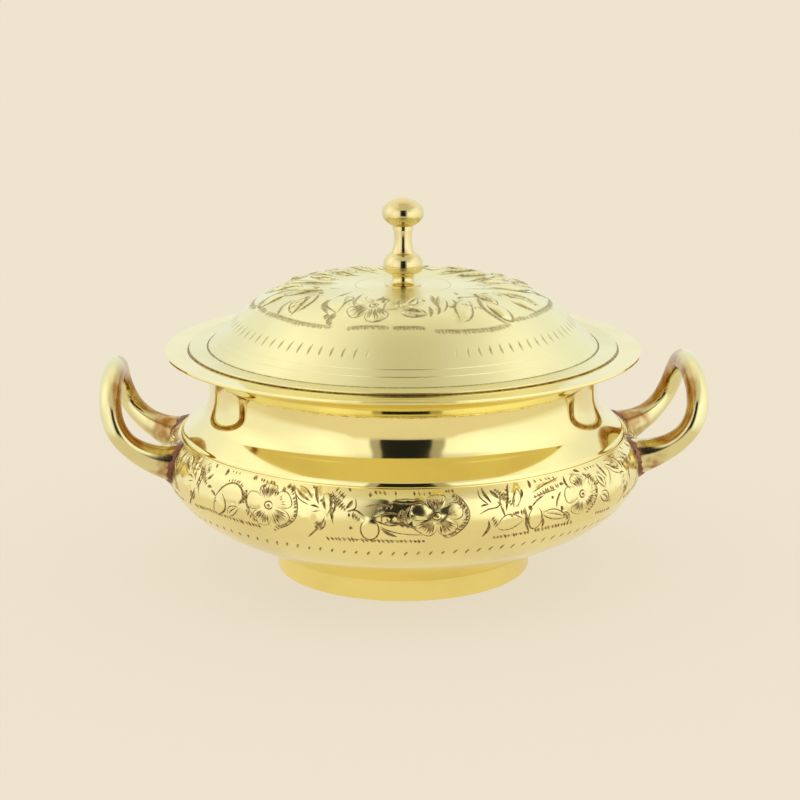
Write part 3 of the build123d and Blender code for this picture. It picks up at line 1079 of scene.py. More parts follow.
        for petal in range(5):
            middle = math.radians(lean + 72 * petal)
            edge = []
            for off, share in PETAL_EDGE:
                share *= self.chance.uniform(0.97, 1.03)
                edge.append(spot(middle + math.radians(off), share))
            self.cut(*edge, width=0.32, depth=0.13, dirt=0.75)
            turn = math.atan2(-tall * math.sin(middle), wide * math.cos(middle))
            size = (wide + tall * self.stretch) / 2
            centre = self.at(*spot(middle, 0.64))
            self.pillows.append(Pillow(centre, 0.40 * size, 0.33 * size, turn, 0.28, 0.3))
            if petal == smooth_petal:
                continue
            count, gap, width, dirt, starts, ends = STRONG_GOUGES if petal in STRONG_PETALS else FAINT_GOUGES
            for k in range(count):
                off = math.radians(gap * (k - (count - 1) / 2) + self.chance.uniform(-1.5, 1.5))
                start = self.chance.uniform(*starts)
                end = self.chance.uniform(*ends)
                line = []
                for t in (0, 0.5, 1):
                    line.append(self.at(*spot(middle + off * (0.8 + 0.2 * t), start + (end - start) * t)))
                self.cuts.append(Cut(tuple(line), width * self.bold, 0.18, dirt, True))
        eye = 0.17
        self.cut(*[spot(math.radians(t), eye) for t in range(0, 361, 45)], width=0.4, depth=0.2)
        self.pillow((x, y), eye * wide, eye * tall, 0.0, 0.18, 0.0)
        self.slit((x - 0.8, y + 0.1), (x + 0.8, y + 0.3), width=1.1, depth=0.25)

    def hatched_edge(self, *points: Point, reach: float = 1.5, angle: float = 60, side: float = 0.5) -> None:
        """Cut a strong line with a row of nicks on one side."""
        self.cut(*points, width=0.4, depth=0.18, dirt=0.85)
        self.hatch(*points, reach=reach * 1.2, angle=angle, gap=1.3, side=side, width=0.46)

    def patch(self, x: float, y: float, wide: float, tall: float, angle: float, crossed: float = 1) -> None:
        """Fill an oval patch with close nicks, every second row of them crossed, or none."""
        rows = max(2, round(tall))
        for row in range(rows):
            for turn in ((angle, angle + 80) if crossed and row % 2 else (angle,)):
                off = (row + 0.5) / rows * 2 - 1
                reach = wide * math.sqrt(max(0.05, 1 - off * off))
                slope = math.radians(turn)
                cx = x - math.sin(slope) * off * tall / 2
                cy = y + math.cos(slope) * off * tall / 2
                self.nick(cx, cy, turn, reach * self.chance.uniform(1.0, 1.3), 0.48)

    def border(self, *points: Point) -> None:
        """Cut the belly's lower border, a rope-like row of slanted nicks on a line."""
        self.cut(*points, width=0.3, depth=0.12, dirt=0.6)
        self.hatch(*points, reach=2.5, angle=62, gap=1.6, side=0.1, width=0.5)

    def lid_border(self, *points: Point) -> None:
        """Cut the border below the lid's flowers."""
        self.cut(*points, width=0.5, depth=0.16, dirt=0.7)
        self.hatch(*points, reach=1.7, angle=60, gap=1.2, side=0.4, width=0.42, dirt=0.7)

    def belly(self) -> "Pattern":
        """Cut the belly's three repeats and the row of slanted strokes below them."""
        self.draw(-0.4, FAN + ROUND_LEAF)
        self.draw(63.0, FAN + BLADES)
        self.draw(133.0, SPRAY)
        count, length = 42, 198.0
        for k in range(count):
            reach = self.chance.uniform(2.6, 3.6)
            angle = -66 + self.chance.uniform(-4, 4)
            y = 28.3 + self.chance.uniform(-0.3, 0.3)
            self.stroke((k + 0.5) * length / count, y, angle, reach, width=1.0, depth=0.15, dirt=0.8)
        return self

    def lid(self) -> "Pattern":
        """Cut the lid's two repeats and the row of strokes outside them, faded near x = 66.5 at the lid's
        front: shallower, and with their dirt taken out as a painted reflection washing over them.
        """
        self.draw(0.0, LID_BELL)
        self.draw(58.66, LID_LEAVES)
        count, length = 30, 117.33
        for k in range(count):
            x = (k + 0.5) * length / count
            reach = self.chance.uniform(2.6, 3.3)
            angle = -82 + self.chance.uniform(-5, 5)
            # Less dirt near x = 66.5 is a painted reflection washing the strokes out at the lid's front; they
            # are also cut shallower there.
            left = 0.15 + 0.85 * clamp((abs(x - 66.5) - 11) / 8)
            self.stroke(x, 31.9, angle, reach, width=0.5, depth=0.14 * left, dirt=0.7 * left)
        return self


class Run:
    """An outline measured by the length along it."""

    def __init__(self, spots: Sequence[Spot]) -> None:
        """Measure the spots."""
        self.spots = np.array(spots)
        self.along = lengths(self.spots[:, :2])

    def at(self, place: np.ndarray | float) -> np.ndarray:
        """Return radius, height and facing at lengths along the outline."""
        parts = [np.interp(place, self.along, self.spots[:, k]) for k in range(5)]
        size = np.hypot(parts[2], parts[3])
        return np.stack([parts[0], parts[1], parts[2] / size, parts[3] / size, parts[4]], -1)

    def part(self, start: float, end: float) -> list[Spot]:
        """Return the spots from one length to another."""
        inner = self.spots[(self.along > start + 0.02) & (self.along < end - 0.02)]
        return [tuple(self.at(start)), *map(tuple, inner), tuple(self.at(end))]


@dataclass
class EngravedBand:
    """A band of a turned shell that the graver has cut, made one sector at a time.

    Args:
        run: The shell's outline.
        pattern: The sector's cuts and raised forms.
        low: The pattern's y where the band starts.
        high: The pattern's y where it ends.
        copies: How many sectors go round.
        start: Degrees round the axis where the first starts.
        radius: The radius at which the pattern is true to size.
        ruler: Gives the length along the outline for a y.
        reach: The widest radius of the lifted metal.
        grain: The distance between the mesh's free points.
        steps: Faces round the axis at the band's ends.
    """

    run: Run
    pattern: Pattern
    low: float
    high: float
    copies: int
    start: float
    radius: float
    ruler: Callable[[np.ndarray], np.ndarray]
    reach: float = 96.28
    grain: float = 1.9
    steps: int = STEPS_ROUND

    @property
    def width(self) -> float:
        """The sector's width on the unrolled metal."""
        return TURN * self.radius / self.copies

    def skeleton(self) -> tuple[list[Vector], list[tuple[int, int]]]:
        """Return the points and lines that the sector's triangles keep to."""
        wide, low, high = self.width, self.low, self.high
        across = self.steps // self.copies
        rows = round((high - low) / 1.1)
        points: list[Point] = []
        lines: list[tuple[int, int]] = []
        for k in range(across + 1):
            points += [(wide * k / across, low), (wide * k / across, high)]
        for k in range(1, rows):
            level = low + (high - low) * k / rows
            points += [(0.0, level), (wide, level)]
        held = len(points)
        chance = random.Random(SEED)
        shake, clear = 0.3, 0.8
        for row in range(1, int((high - low) / self.grain)):
            level = low + row * self.grain
            for column in range(1, int(wide / self.grain)):
                x = (column + 0.5 * (row % 2)) * self.grain + chance.uniform(-shake, shake)
                y = level + chance.uniform(-shake, shake)
                if clear < x < wide - clear and low + clear < y < high - clear:
                    points.append((x, y))
        for cut in self.pattern.cuts:
            middle = np.array(cut.line)
            slope = unit(np.gradient(middle, axis=0))
            off = np.stack([-slope[:, 1], slope[:, 0]], 1) * cut.half_widths()[:, None]
            last = len(middle) - 1
            first = len(points)
            points += map(tuple, middle)
            lines += [(first + k, first + k + 1) for k in range(last)]
            for rail in (middle + off, middle - off):
                side = len(points)
                points += map(tuple, rail[1:-1])
                chain = [first, *range(side, side + last - 1), first + last]
                lines += zip(chain, chain[1:])
        edge = 0.16
        kept = [Vector(point) for point in points[:held]]
        for x, y in points[held:]:
            kept.append(Vector((min(max(x, edge), wide - edge), min(max(y, low + edge), high - edge))))
        return kept, lines

    def depth(self, places: np.ndarray) -> tuple[np.ndarray, np.ndarray]:
        """Return how deep the cuts are at places, and how dark they are there."""
        deep = np.zeros(len(places))
        dirt = np.zeros(len(places))
        for cut in self.pattern.cuts:
            line = np.array(cut.line)
            half = cut.half_widths()
            reach = half.max()
            low, high = line.min(0) - reach, line.max(0) + reach
            near = np.flatnonzero(((places > low) & (places < high)).all(1))
            if not len(near):
                continue
            spot = places[near]
            best = np.zeros(len(near))
            for k in range(len(line) - 1):
                step = line[k + 1] - line[k]
                size = max(float(step @ step), 1e-9)
                share = np.clip((spot - line[k]) @ step / size, 0, 1)
                gap = np.linalg.norm(spot - line[k] - share[:, None] * step, axis=1)
                here = np.maximum(half[k] * (1 - share) + half[k + 1] * share, 1e-6)
                best = np.maximum(best, cut.depth * here / reach * np.clip(1 - gap / here, 0, 1))
            deeper = best > deep[near]
            deep[near[deeper]] = best[deeper]
            dirt[near[deeper]] = cut.dirt
        return deep, dirt

    def haze(self, places: np.ndarray) -> np.ndarray:
        """Return how brown the ground is at places, from the nicks that stand close round them."""
        haze = np.zeros(len(places))
        share_of_nick, spread, most = 0.3, 1.3, 0.42
        for cut in self.pattern.cuts:
            if len(cut.line) == 3:
                haze += share_of_nick * np.exp(-(((places - cut.line[1]) ** 2).sum(1)) / spread)
        return most * np.clip(haze, 0, 1)

    def relief(self, places: np.ndarray) -> np.ndarray:
        """Return how far the chased forms lift the metal at places."""
        lift = np.zeros(len(places))
        for pillow in self.pattern.pillows:
            lift = np.maximum(lift, pillow.rise(places) * self.pattern.rise)
        wave_scale, wave_height, margin, drawn_to = 0.16, 0.075, 1.6, 24.5
        waves = np.array([noise.noise(Vector((x * wave_scale, y * wave_scale, SEED))) for x, y in places])
        sides = np.minimum(places[:, 0], self.width - places[:, 0])
        ends = np.minimum(places[:, 1] - self.low, self.high - places[:, 1])
        fade = np.clip(np.minimum(sides, ends) / margin, 0, 1)
        quiet = np.clip((places[:, 1] - self.pattern.top + drawn_to) / 2, 0, 1)
        return (lift + wave_height * waves * quiet) * fade * fade * (3 - 2 * fade)

    def spots(self, places: np.ndarray, lift: np.ndarray) -> tuple[np.ndarray, np.ndarray]:
        """Return points of the lifted band in millimetres, and the angles round the axis there."""
        base = self.run.at(self.ruler(places[:, 1]))
        angle = math.radians(self.start) + places[:, 0] / self.radius
        away = np.minimum(base[:, 0] + lift * base[:, 2], self.reach)
        up = base[:, 1] + lift * base[:, 3]
        return np.stack([away * np.cos(angle), away * np.sin(angle), up], 1), angle

    def sector(self) -> Mesh:
        """Make one sector as a mesh with facing and cut on its corners."""
        points, lines = self.skeleton()
        placed, _, triangles, *_ = delaunay_2d_cdt(points, lines, [], 0, 0.012)
        places = np.array(placed)
        corners = np.array([tri for tri in triangles if len(tri) == 3])
        a, b, c = (places[corners[:, k]] for k in range(3))
        turned = (b - a)[:, 0] * (c - a)[:, 1] - (b - a)[:, 1] * (c - a)[:, 0]
        corners[turned < 0] = corners[turned < 0][:, ::-1]
        corners = corners[np.abs(turned) > 1e-5]
        deep, dirt = self.depth(places)
        lift = self.relief(places)
        step = 0.06
        sideways, upwards = np.array([step, 0.0]), np.array([0.0, step])
        round_grade = (self.relief(places + sideways) - self.relief(places - sideways)) / (2 * step)
        up_grade = (self.relief(places + upwards) - self.relief(places - upwards)) / (2 * step)
        solid, angle = self.spots(places, lift - deep)
        base = self.run.at(self.ruler(places[:, 1]))
        stretch = base[:, 0] / self.radius
        beat = (self.ruler(places[:, 1] + step) - self.ruler(places[:, 1] - step)) / (2 * step)
        round_grade, up_grade = round_grade / stretch, up_grade / beat
        away, up = base[:, 2], base[:, 3]
        rounded = np.stack([away + up_grade * up, -round_grade, up - up_grade * away], 1)
        middle_depth, middle_dirt = self.depth(places[corners].mean(1))
        in_cut = middle_depth > 0.004
        full_depth, least = 0.16, 0.42
        a, b, c = (solid[corners[:, k]] for k in range(3))
        x, y, z = unit(np.cross(b - a, c - a)).T[..., None]
        cos, sin = np.cos(angle[corners]), np.sin(angle[corners])
        flat = np.stack([x * cos + y * sin, y * cos - x * sin, np.repeat(z, 3, 1)], 2)
        facing = np.where(in_cut[:, None, None], flat, rounded[corners])
        stain = np.clip(least + 0.6 * deep[corners] / full_depth, 0, 1) * middle_dirt[:, None]
        stain = np.where(in_cut[:, None], stain, self.haze(places)[corners])
        mesh = bpy.data.meshes.new("sector")
        mesh.from_pydata((solid * MM).tolist(), [], corners.tolist())
        store(mesh, "facing", "FLOAT_VECTOR", "CORNER", facing.ravel())
        store(mesh, "cut", "FLOAT", "CORNER", stain.ravel())
        return mesh

    def build(self, finish: Material) -> Mesh:
        """Make the whole band."""
        values = {"Copies": self.copies, "Weld": WELD, "Finish": finish}
        return run_tree(repeat_tree(), self.sector(), values)


def join(meshes: Sequence[Mesh], materials: Sequence[Material]) -> Mesh:
    """Weld meshes of one turned shell along their shared rings.

    Args:
        meshes: The parts, which hold facing and may hold cut.
        materials: The finishes that they use.

    Returns:
        One closed mesh.
    """
    names = [material.name for material in materials]
    work = bmesh.new()
    for mesh in meshes:
        if "cut" not in mesh.attributes:
            mesh.attributes.new("cut", "FLOAT", "CORNER")
        own = [material.name if material else names[0] for material in mesh.materials]
        first = len(work.faces)
        work.from_mesh(mesh)
        work.faces.ensure_lookup_table()
        for face in work.faces[first:]:
            face.material_index = names.index(own[face.material_index])
        bpy.data.meshes.remove(mesh)
    bmesh.ops.remove_doubles(work, verts=work.verts, dist=WELD)
    joined = bpy.data.meshes.new("joined")
    work.to_mesh(joined)
    work.free()
    for material in materials:
        joined.materials.append(material)
    return joined


# The bowl and its foot


@dataclass
class BowlShell:
    """The spun belly and neck, which share one run of arcs and meet on a soft ridge."""

    wall: float = 1.4
    widest: Point = (96.3, 45.0)
    shoulder: Point = (89.8, 57.4)
    floor_height: float = 4.0
    floor_bend: float = 20.0
    cone_angle: float = 28.0
    underside_bend: float = 36.0
    equator_bend: float = 16.0
    equator_turn: float = 30.0
    shoulder_slope: float = 41.0
    top_slope: float = 40.0
    side_bend: float = 17.8
    roll_bend: float = 6.71
    waist_bend: float = 12.0
    neck_radius: float = 78.1
    neck_lean: float = 12.0
    flare_bend: float = 4.5
    flare_fill: float = 14.5
    lip_bend: float = 3.0
    lip_turn: float = 44.0
    lip_length: float = 2.3
    lip_sink: float = 0.6
    rim_radius: float = 95.0
    rim_groove: float = 85.45
    groove_width: float = 0.95
    groove_depth: float = 0.25
    rim_underside: float = 89.3
    edge_round: float = 0.588
    band_low: float = -17.2
    band_start: float = -470 / 3
    band_radius: float = 94.5
    root_place: Triple = (93.0, 21.5, 48.4)
    root_stain: float = 15.0

    def underside(self) -> Outline:
        """Return the outside from the floor's centre to the widest line."""
        under_turn = 90 - self.cone_angle - self.equator_turn
        cone = math.radians(self.cone_angle)
        steep = math.radians(self.cone_angle + under_turn)
        run = self.equator_bend * (1 - math.sin(steep))
        run += self.underside_bend * (math.sin(steep) - math.sin(cone))
        rise = self.equator_bend * math.cos(steep) + self.underside_bend * (math.cos(cone) - math.cos(steep))
        rise += self.floor_bend * (1 - math.cos(cone))
        cone_length = (self.widest[1] - self.floor_height - rise) / math.sin(cone)
        flat = self.widest[0] - run - cone_length * math.cos(cone) - self.floor_bend * math.sin(cone)
        pen = Outline(0.0, self.floor_height).line(flat, self.floor_height)
        pen.bend(self.floor_bend, self.cone_angle, 4).ahead(cone_length)
        pen.bend(self.underside_bend, under_turn)
        return pen.bend(self.equator_bend, self.equator_turn)

    def belly(self) -> Outline:
        """Return the belly's outside, from the floor's centre to the ridge."""
        half = (90 - self.top_slope) / 2
        pen = self.underside().bend(self.side_bend, half).bend(self.roll_bend, half)
        return pen.line(*self.shoulder)

    def lip(self) -> Outline:
        """Return the neck's lower edge, which rolls down into the crease above the belly."""
        slope, turn = math.radians(self.shoulder_slope), math.radians(self.lip_turn)
        along = self.lip_length - self.lip_bend * math.sin(turn)
        deep = self.lip_bend * (1 - math.cos(turn))
        r = self.shoulder[0] - along * math.cos(slope) - deep * math.sin(slope)
        z = self.shoulder[1] + along * math.sin(slope) - deep * math.cos(slope)
        heading = math.pi - slope - turn
        pen = Outline(r - self.lip_sink * math.cos(heading), z - self.lip_sink * math.sin(heading))
        return pen.line(r, z).bend(self.lip_bend, self.lip_turn, 4)

    def neck(self, flare: float, lipped: bool = False) -> Outline:
        """Return the neck's outside, from the ridge to the rim's edge.

        Args:
            flare: The bend under the rim.
            lipped: Whether its lower edge is rolled into the crease.

        Returns:
            The outline.
        """
        slope = math.radians(self.shoulder_slope)
        turn = 90 - self.shoulder_slope
        run = self.shoulder[0] - self.neck_radius - self.waist_bend * (1 - math.cos(math.radians(turn)))
        lean = math.radians(self.neck_lean)
        pen = self.lip() if lipped else Outline(*self.shoulder)
        pen.line(self.shoulder[0] - run, self.shoulder[1] + run * math.tan(slope), 3)
        pen.bend(self.waist_bend, -turn, 2.5)
        flare_start = self.rim_underside - flare * (1 - math.sin(lean))
        pen.bend((flare_start - pen.z) / math.sin(lean), -self.neck_lean, 1)
        pen.bend(flare, self.neck_lean - 90, 4)
        return pen.line(self.rim_radius - self.edge_round, self.rim_underside)

    def neck_spots(self) -> list[Spot]:
        """Return the closed neck: outside, rounded rim edge, inside and lower edge."""
        pen = self.neck(self.flare_fill, True)
        polished_to, small = 84.0, 0.2
        lining = self.neck(self.flare_bend).lining(self.wall)
        lining = [(*spot[:4], float(spot[0] < polished_to)) for spot in lining]
        pen.bend(self.edge_round, 90, 18).ahead(self.wall - self.edge_round - small).bend(small, 90, 30)
        pen.line(self.rim_groove + self.groove_width, pen.z).notch(self.groove_width, self.groove_depth)
        closed = pen.spots + [spot for spot in lining if spot[0] < polished_to or spot[1] < pen.z - 0.1]
        return closed + edge_between(closed[-1], closed[0])

    def engraved_belly(self, finishes: Finishes) -> Mesh:
        """Make the belly: its plain underside, the engraved band, the ridge and the inside."""
        pen = self.belly()
        run = Run(pen.spots)
        middle = float(np.interp(self.widest[1], run.spots[:, 1], run.along))
        ridge = run.along[-1]
        pattern = Pattern(ridge - middle, SEED, 1.4, 1.4).belly()
        below_ridge, groove_middle, groove_wide, groove_deep = 0.75, 0.2, 0.42, 0.16
        low, high = self.band_low, ridge - middle - below_ridge
        band = EngravedBand(
            run, pattern, low, high, 3, self.band_start, self.band_radius, lambda v: middle + v
        )
        low, high = middle + band.low, middle + band.high
        groove = Outline(*run.at(high)[:2])
        r, z, out, up, _ = run.at(high + groove_middle)
        groove.line(r - groove_deep * out, z - groove_deep * up).line(*run.at(high + groove_wide)[:2])
        lining = pen.lining(self.wall)
        upper = groove.spots + run.part(high + groove_wide, ridge)
        upper += edge_between(upper[-1], lining[0]) + lining
        parts = [
            spin(run.part(0.0, low), finishes.engraved),
            band.build(finishes.engraved),
            spin(upper, finishes.engraved, finishes.bare),
        ]
        mesh = join(parts, [finishes.engraved, finishes.bare])
        self.stain_roots(mesh)
        return mesh

    def grime_and_shade(self, radius: float, height: float) -> float:
        """Return how dark the neck is there: painted shade, with some dirt, in the rim's groove beside the
        lid's brim, and painted shade in the crease above the belly.
        """
        # Painted shade, with some dirt, in the groove where the lid's brim meets the rim.
        if height > self.rim_underside + 0.1 and abs(radius - self.rim_groove - 0.4) < 0.45:
            return 1.0
        # Painted shade in the crease above the belly, darker further down.
        return clamp((self.shoulder[1] - 0.3 - height) * 2) if radius > 85 else 0.0

    def stain_roots(self, mesh: Mesh) -> None:
        """Let the brazing's brown stain spread over the belly round the handles' four roots."""
        places = vertex_places(mesh) / MM
        gap = np.linalg.norm(np.abs(places) - np.array(self.root_place), axis=1)
        stain = np.zeros(len(places))
        for k in np.flatnonzero(gap < self.root_stain):
            patchy = noise.noise(Vector(places[k]) * 0.45) + 0.5 * noise.noise(Vector(places[k]) * 1.6)
            stain[k] = clamp((1 - gap[k] / self.root_stain) * 1.5 + 0.9 * patchy - 0.15, 0.75)
        cut = mesh.attributes["cut"].data
        values = np.zeros(len(mesh.loops))
        cut.foreach_get("value", values)
        cut.foreach_set("value", np.maximum(values, stain[corner_owners(mesh)]))

    def surface(self) -> np.ndarray:
        """Return closely spaced points of the outside as radius, height and facing."""
        pen = self.belly()
        spots = np.array(pen.spots + self.neck(self.flare_fill).spots)
        steps = np.linspace(0, 1, 8)[:, None, None]
        fine = spots[None, :-1] * (1 - steps) + spots[None, 1:] * steps
        return fine.transpose(1, 0, 2).reshape(-1, 5)

    def build(self, finishes: Finishes) -> None:
        """Make the belly and the neck."""
        finish_piece("engraved_belly", self.engraved_belly(finishes), Body.BOWL, ["belly"])
        neck = spin(self.neck_spots(), finishes.polished, finishes.bare)
        # The neck's groove and crease get painted shade, with some dirt.
        paint_grime_and_shade(neck, self.grime_and_shade)
        finish_piece("polished_neck", neck, Body.BOWL, ["neck"])


@dataclass
class FootRing:
    """The foot, a turned ring brazed under the belly's cone."""

    radius: float = 51.6
    wall: float = 2.2
    edge_round: float = 0.5
    sink: float = 0.35

    def build(self, shell: BowlShell, finishes: Finishes) -> None:
        """Make the ring up to the belly's underside."""
        surface = shell.surface()
        lower = surface[: len(surface) // 2]
        lower = lower[np.argsort(lower[:, 0])]
        outer, inner = np.interp([self.radius, self.radius - self.wall], lower[:, 0], lower[:, 1]) + self.sink
        pen = Outline(self.radius - self.wall + self.edge_round, 0.0)
        pen.line(self.radius - self.edge_round, 0.0).bend(self.edge_round, 90, 15)
        pen.line(self.radius, outer).line(self.radius - self.wall, inner)
        pen.line(self.radius - self.wall, self.edge_round).bend(self.edge_round, 90, 15)
        mesh = spin(pen.spots, finishes.satin)
        finish_piece("turned_foot_ring", mesh, Body.BOWL, ["foot_ring"])


# The handles


def bezier(points: np.ndarray, share: np.ndarray) -> np.ndarray:
    """Return places on the Bezier line of those control points, by their share of the way."""
    last = len(points) - 1
    return sum(math.comb(last, k) * share**k * (1 - share) ** (last - k) * points[k] for k in range(last + 1))


@dataclass
class HandleArch:
    """One cast handle, an oval bar bent into a closed arch and brazed on by two lumpy roots."""

    name: str
    side: int
    root: Triple = (90.0, 21.5, 48.4)
    elbow: Triple = (135.5, 31.2, 58.3)
    bow: Triple = (107.8, 53.4, 97.4)
    grip_half_width: float = 4.4
    grip_half_depth: float = 4.2
    root_half_width: float = 6.4
    root_half_height: float = 8.3
    taper_share: float = 0.2
    sink: float = 0.5
    rings: int = 230
    root_rings: int = 40
    around: int = 72
    seed: int = 3

    def centre_line(self) -> tuple[np.ndarray, np.ndarray]:
        """Return evenly spaced points along the arch and the tangents there."""
        leg = np.array([self.root, self.elbow, self.bow])
        points = np.concatenate([leg, (leg * (1, -1, 1))[::-1]])
        share = np.linspace(0, 1, 4001)[:, None]
        curve = bezier(points, share)
        slopes = 5 * bezier(np.diff(points, axis=0), share)
        length = np.concatenate([[0], np.cumsum(np.linalg.norm(np.diff(curve, axis=0), axis=1))])
        wanted = np.linspace(0, length[-1], self.rings)
        line = np.stack([np.interp(wanted, length, curve[:, k]) for k in range(3)], 1)
        tangent = np.stack([np.interp(wanted, length, slopes[:, k]) for k in range(3)], 1)
        return line, unit(tangent)

    def sections(self) -> np.ndarray:
        """Return the bar's surface as rings of points."""
        line, tangent = self.centre_line()
        across = unit(np.cross(np.array([-1.0, 0.0, 1.0]), tangent))
        deep = np.cross(tangent, across)
        place = np.linspace(0, 1, self.rings)
        flare = np.clip(1 - np.minimum(place, 1 - place) / self.taper_share, 0, None) ** 2
        wide = self.grip_half_width + (self.root_half_width - self.grip_half_width) * flare
        tall = self.grip_half_depth + (self.root_half_height - self.grip_half_depth) * flare
        angle = np.linspace(0, TURN, self.around, endpoint=False)
        rings = line[:, None] + across[:, None] * (wide[:, None] * np.cos(angle))[..., None]
        return rings + deep[:, None] * (tall[:, None] * np.sin(angle))[..., None]

    @staticmethod
    def above_bowl(points: np.ndarray, surface: np.ndarray) -> tuple[np.ndarray, np.ndarray, np.ndarray]:
        """Measure points against the bowl's outside.

        Args:
            points: Points, in rows of three.
            surface: The outside's radius, height and facing, closely spaced.

        Returns:
            How far each point stands outside the bowl, the nearest point of the outside, and the
            way that the outside faces there.
        """
        radius = np.hypot(points[:, 0], points[:, 1])
        gap = np.hypot(radius[:, None] - surface[None, :, 0], points[:, 2, None] - surface[None, :, 1])
        near = surface[gap.argmin(1)]
        height = (radius - near[:, 0]) * near[:, 2] + (points[:, 2] - near[:, 1]) * near[:, 3]
        turn = points[:, :2] / radius[:, None]
        facing = np.concatenate([turn * near[:, 2, None], near[:, 3, None]], 1)
        return height, points - facing * height[:, None], facing

    def let_in(self, points: np.ndarray, surface: np.ndarray) -> np.ndarray:
        """Return points with those that lie deep in the bowl brought up into its wall."""
        height, foot, facing = self.above_bowl(points, surface)
        return foot + facing * np.maximum(height, -self.sink)[:, None]

    def skin(self, surface: np.ndarray) -> np.ndarray:
        """Return the rings with their ends let into the bowl's wall."""
        rings = self.sections()
        return self.let_in(rings.reshape(-1, 3), surface).reshape(rings.shape)

    def closed_mesh(self, rings: np.ndarray, surface: np.ndarray, material: Material) -> Mesh:
        """Close rings of points into a tube with ends capped inside the bowl's wall."""
        count, around = rings.shape[:2]
        points = rings.reshape(-1, 3).tolist() + self.let_in(rings[[0, -1]].mean(1), surface).tolist()
        faces = ring_faces(count, around)
        low, high = len(points) - 2, len(points) - 1
        top = (count - 1) * around
        for step in range(around):
            after = (step + 1) % around
            faces += [(low, after, step), (high, top + step, top + after)]
        return plain_mesh(self.name, points, faces, material)

    def build(self, surface: np.ndarray, finishes: Finishes) -> list[np.ndarray]:
        """Make the handle, and return the fillets of braze round its two roots."""
        rings = self.skin(surface)
        shift = Vector((self.seed, 0, 0))
        lumps = np.array([noise.noise(Vector(point) * 0.09 + shift) for point in rings.reshape(-1, 3)])
        middle = rings.mean(1, keepdims=True)
        rings = middle + (rings - middle) * (1 + 0.035 * lumps.reshape(*rings.shape[:2], 1))
        fillets = [self.fillet(part[: self.root_rings], surface) for part in (rings, rings[::-1])]
        for part in (rings, *fillets):
            part[..., 0] *= self.side
        mesh = self.closed_mesh(rings, surface, finishes.cast)
        self.paint_shade_and_root_stain(mesh)
        finish_piece(f"cast_{self.name}", mesh, Body.BOWL, [self.name])
        return fillets

    def paint_shade_and_root_stain(self, mesh: Mesh) -> None:
        """Store how brown the metal is: painted shade and reflection of the bowl on the sides turned to it,
        and the braze's stain at the roots.
        """
        values = []
        patch_scale, fine_scale, root_end, highest = 90, 420, 97, 88
        aim = Vector((-0.80 * self.side, 0.0, 0.28))
        shift = Vector((self.seed, 0, 0))
        for point in mesh.vertices:
            # Painted shade and reflection of the bowl: browner where a side faces the bowl, lower down and
            # further back.
            behind = clamp(point.co.y / MM / 12)
            inner = clamp((point.normal.dot(aim) - 0.36 + 0.16 * behind) / 0.24)
            patchy = noise.noise(point.co * patch_scale + shift)
            fine = noise.noise(point.co * fine_scale + shift)
            # Stain from the brazing round the roots.
            root = clamp(1.1 - (abs(point.co.x) / MM - root_end) / (7 + 4 * behind))
            fade = clamp((highest + 6 * behind - point.co.z / MM) / 9)
            brown = fade * inner * (0.85 + 0.4 * patchy)
            values.append(clamp(max(brown, root * (0.5 + 0.7 * patchy + 0.5 * fine))))
        store(mesh, "cut", "FLOAT", "POINT", values)

    def fillet(self, rings: np.ndarray, surface: np.ndarray) -> np.ndarray:
        """Lay a lumpy fillet of braze round one root.

        Args:
            rings: The bar's rings from that root's end on.
            surface: The bowl's outside, closely spaced.

        Returns:
            The closed fillet, as a ring of points for each column of the bar.
        """
        middle = rings[:3].mean((0, 1))
        climb, climb_lump, spread, spread_lump = 1.25, 1.1, 1.1, 1.2
        made = []
        for column in range(rings.shape[1]):
            line = rings[:, column]
            height, _, facing = self.above_bowl(line, surface)
            lump = noise.noise(Vector(line[4]) * 0.42 + Vector((self.seed, 9, 0)))
            level = climb + climb_lump * lump
            low = next(k for k in range(len(height)) if height[k] > 0.02)
            high = next((k for k in range(low, len(height)) if height[k] > level), low + 3)
            foot, top = line[low], line[high]
            out = foot - middle
            out = out - facing[low] * (out @ facing[low])
            out /= np.linalg.norm(out)
            toe = foot + out * (spread + spread_lump * noise.noise(Vector(foot) * 0.5))
            rise, _, up = self.above_bowl(toe[None], surface)
            toe = toe - up[0] * (rise[0] + 0.06)
            bend = foot + (out + facing[low]) * (0.42 + 0.5 * lump)
            shares = (0, 0.25, 0.5, 0.75, 1)
            curve = [(1 - t) ** 2 * toe + 2 * t * (1 - t) * bend + t * t * top for t in shares]
            inside = [top - out * 0.7, foot - (out + facing[low]) * 0.6, toe - facing[low] * 0.5 - out * 0.3]
            made.append(curve + inside)
        return np.array(made)


def braze_piece(fillets: Sequence[np.ndarray], finish: Material) -> None:
    """Make one piece of the handles' fillets, each a closed ring."""
    points: list[list[float]] = []
    faces: list[tuple[int, ...]] = []
    for fillet in fillets:
        faces += ring_faces(*fillet.shape[:2], first=len(points), closed=True)
        points += fillet.reshape(-1, 3).tolist()
    mesh = plain_mesh("handle_brazing", points, faces, finish)
    finish_piece("handle_brazing", mesh, Body.BOWL, ["handle_braze"])


def plain_mesh(
    name: str, points: Sequence[Sequence[float]], faces: Sequence[Sequence[int]], material: Material
) -> Mesh:
    """Make a smooth mesh from points in millimetres, with its faces turned outwards.

    Args:
        name: The mesh's name.
        points: Its points.
        faces: Its faces, as numbers of points.
        material: Its finish.

    Returns:
        The mesh, in metres.
    """
    work = bmesh.new()
    verts = [work.verts.new(Vector(point) * MM) for point in points]
    for face in faces:
        work.faces.new([verts[k] for k in face]).smooth = True
    bmesh.ops.remove_doubles(work, verts=work.verts, dist=1e-7)
    bmesh.ops.recalc_face_normals(work, faces=work.faces)
    mesh = bpy.data.meshes.new(name)
    work.to_mesh(mesh)
    work.free()
    mesh.materials.append(material)
    return mesh


# The lid and its knob


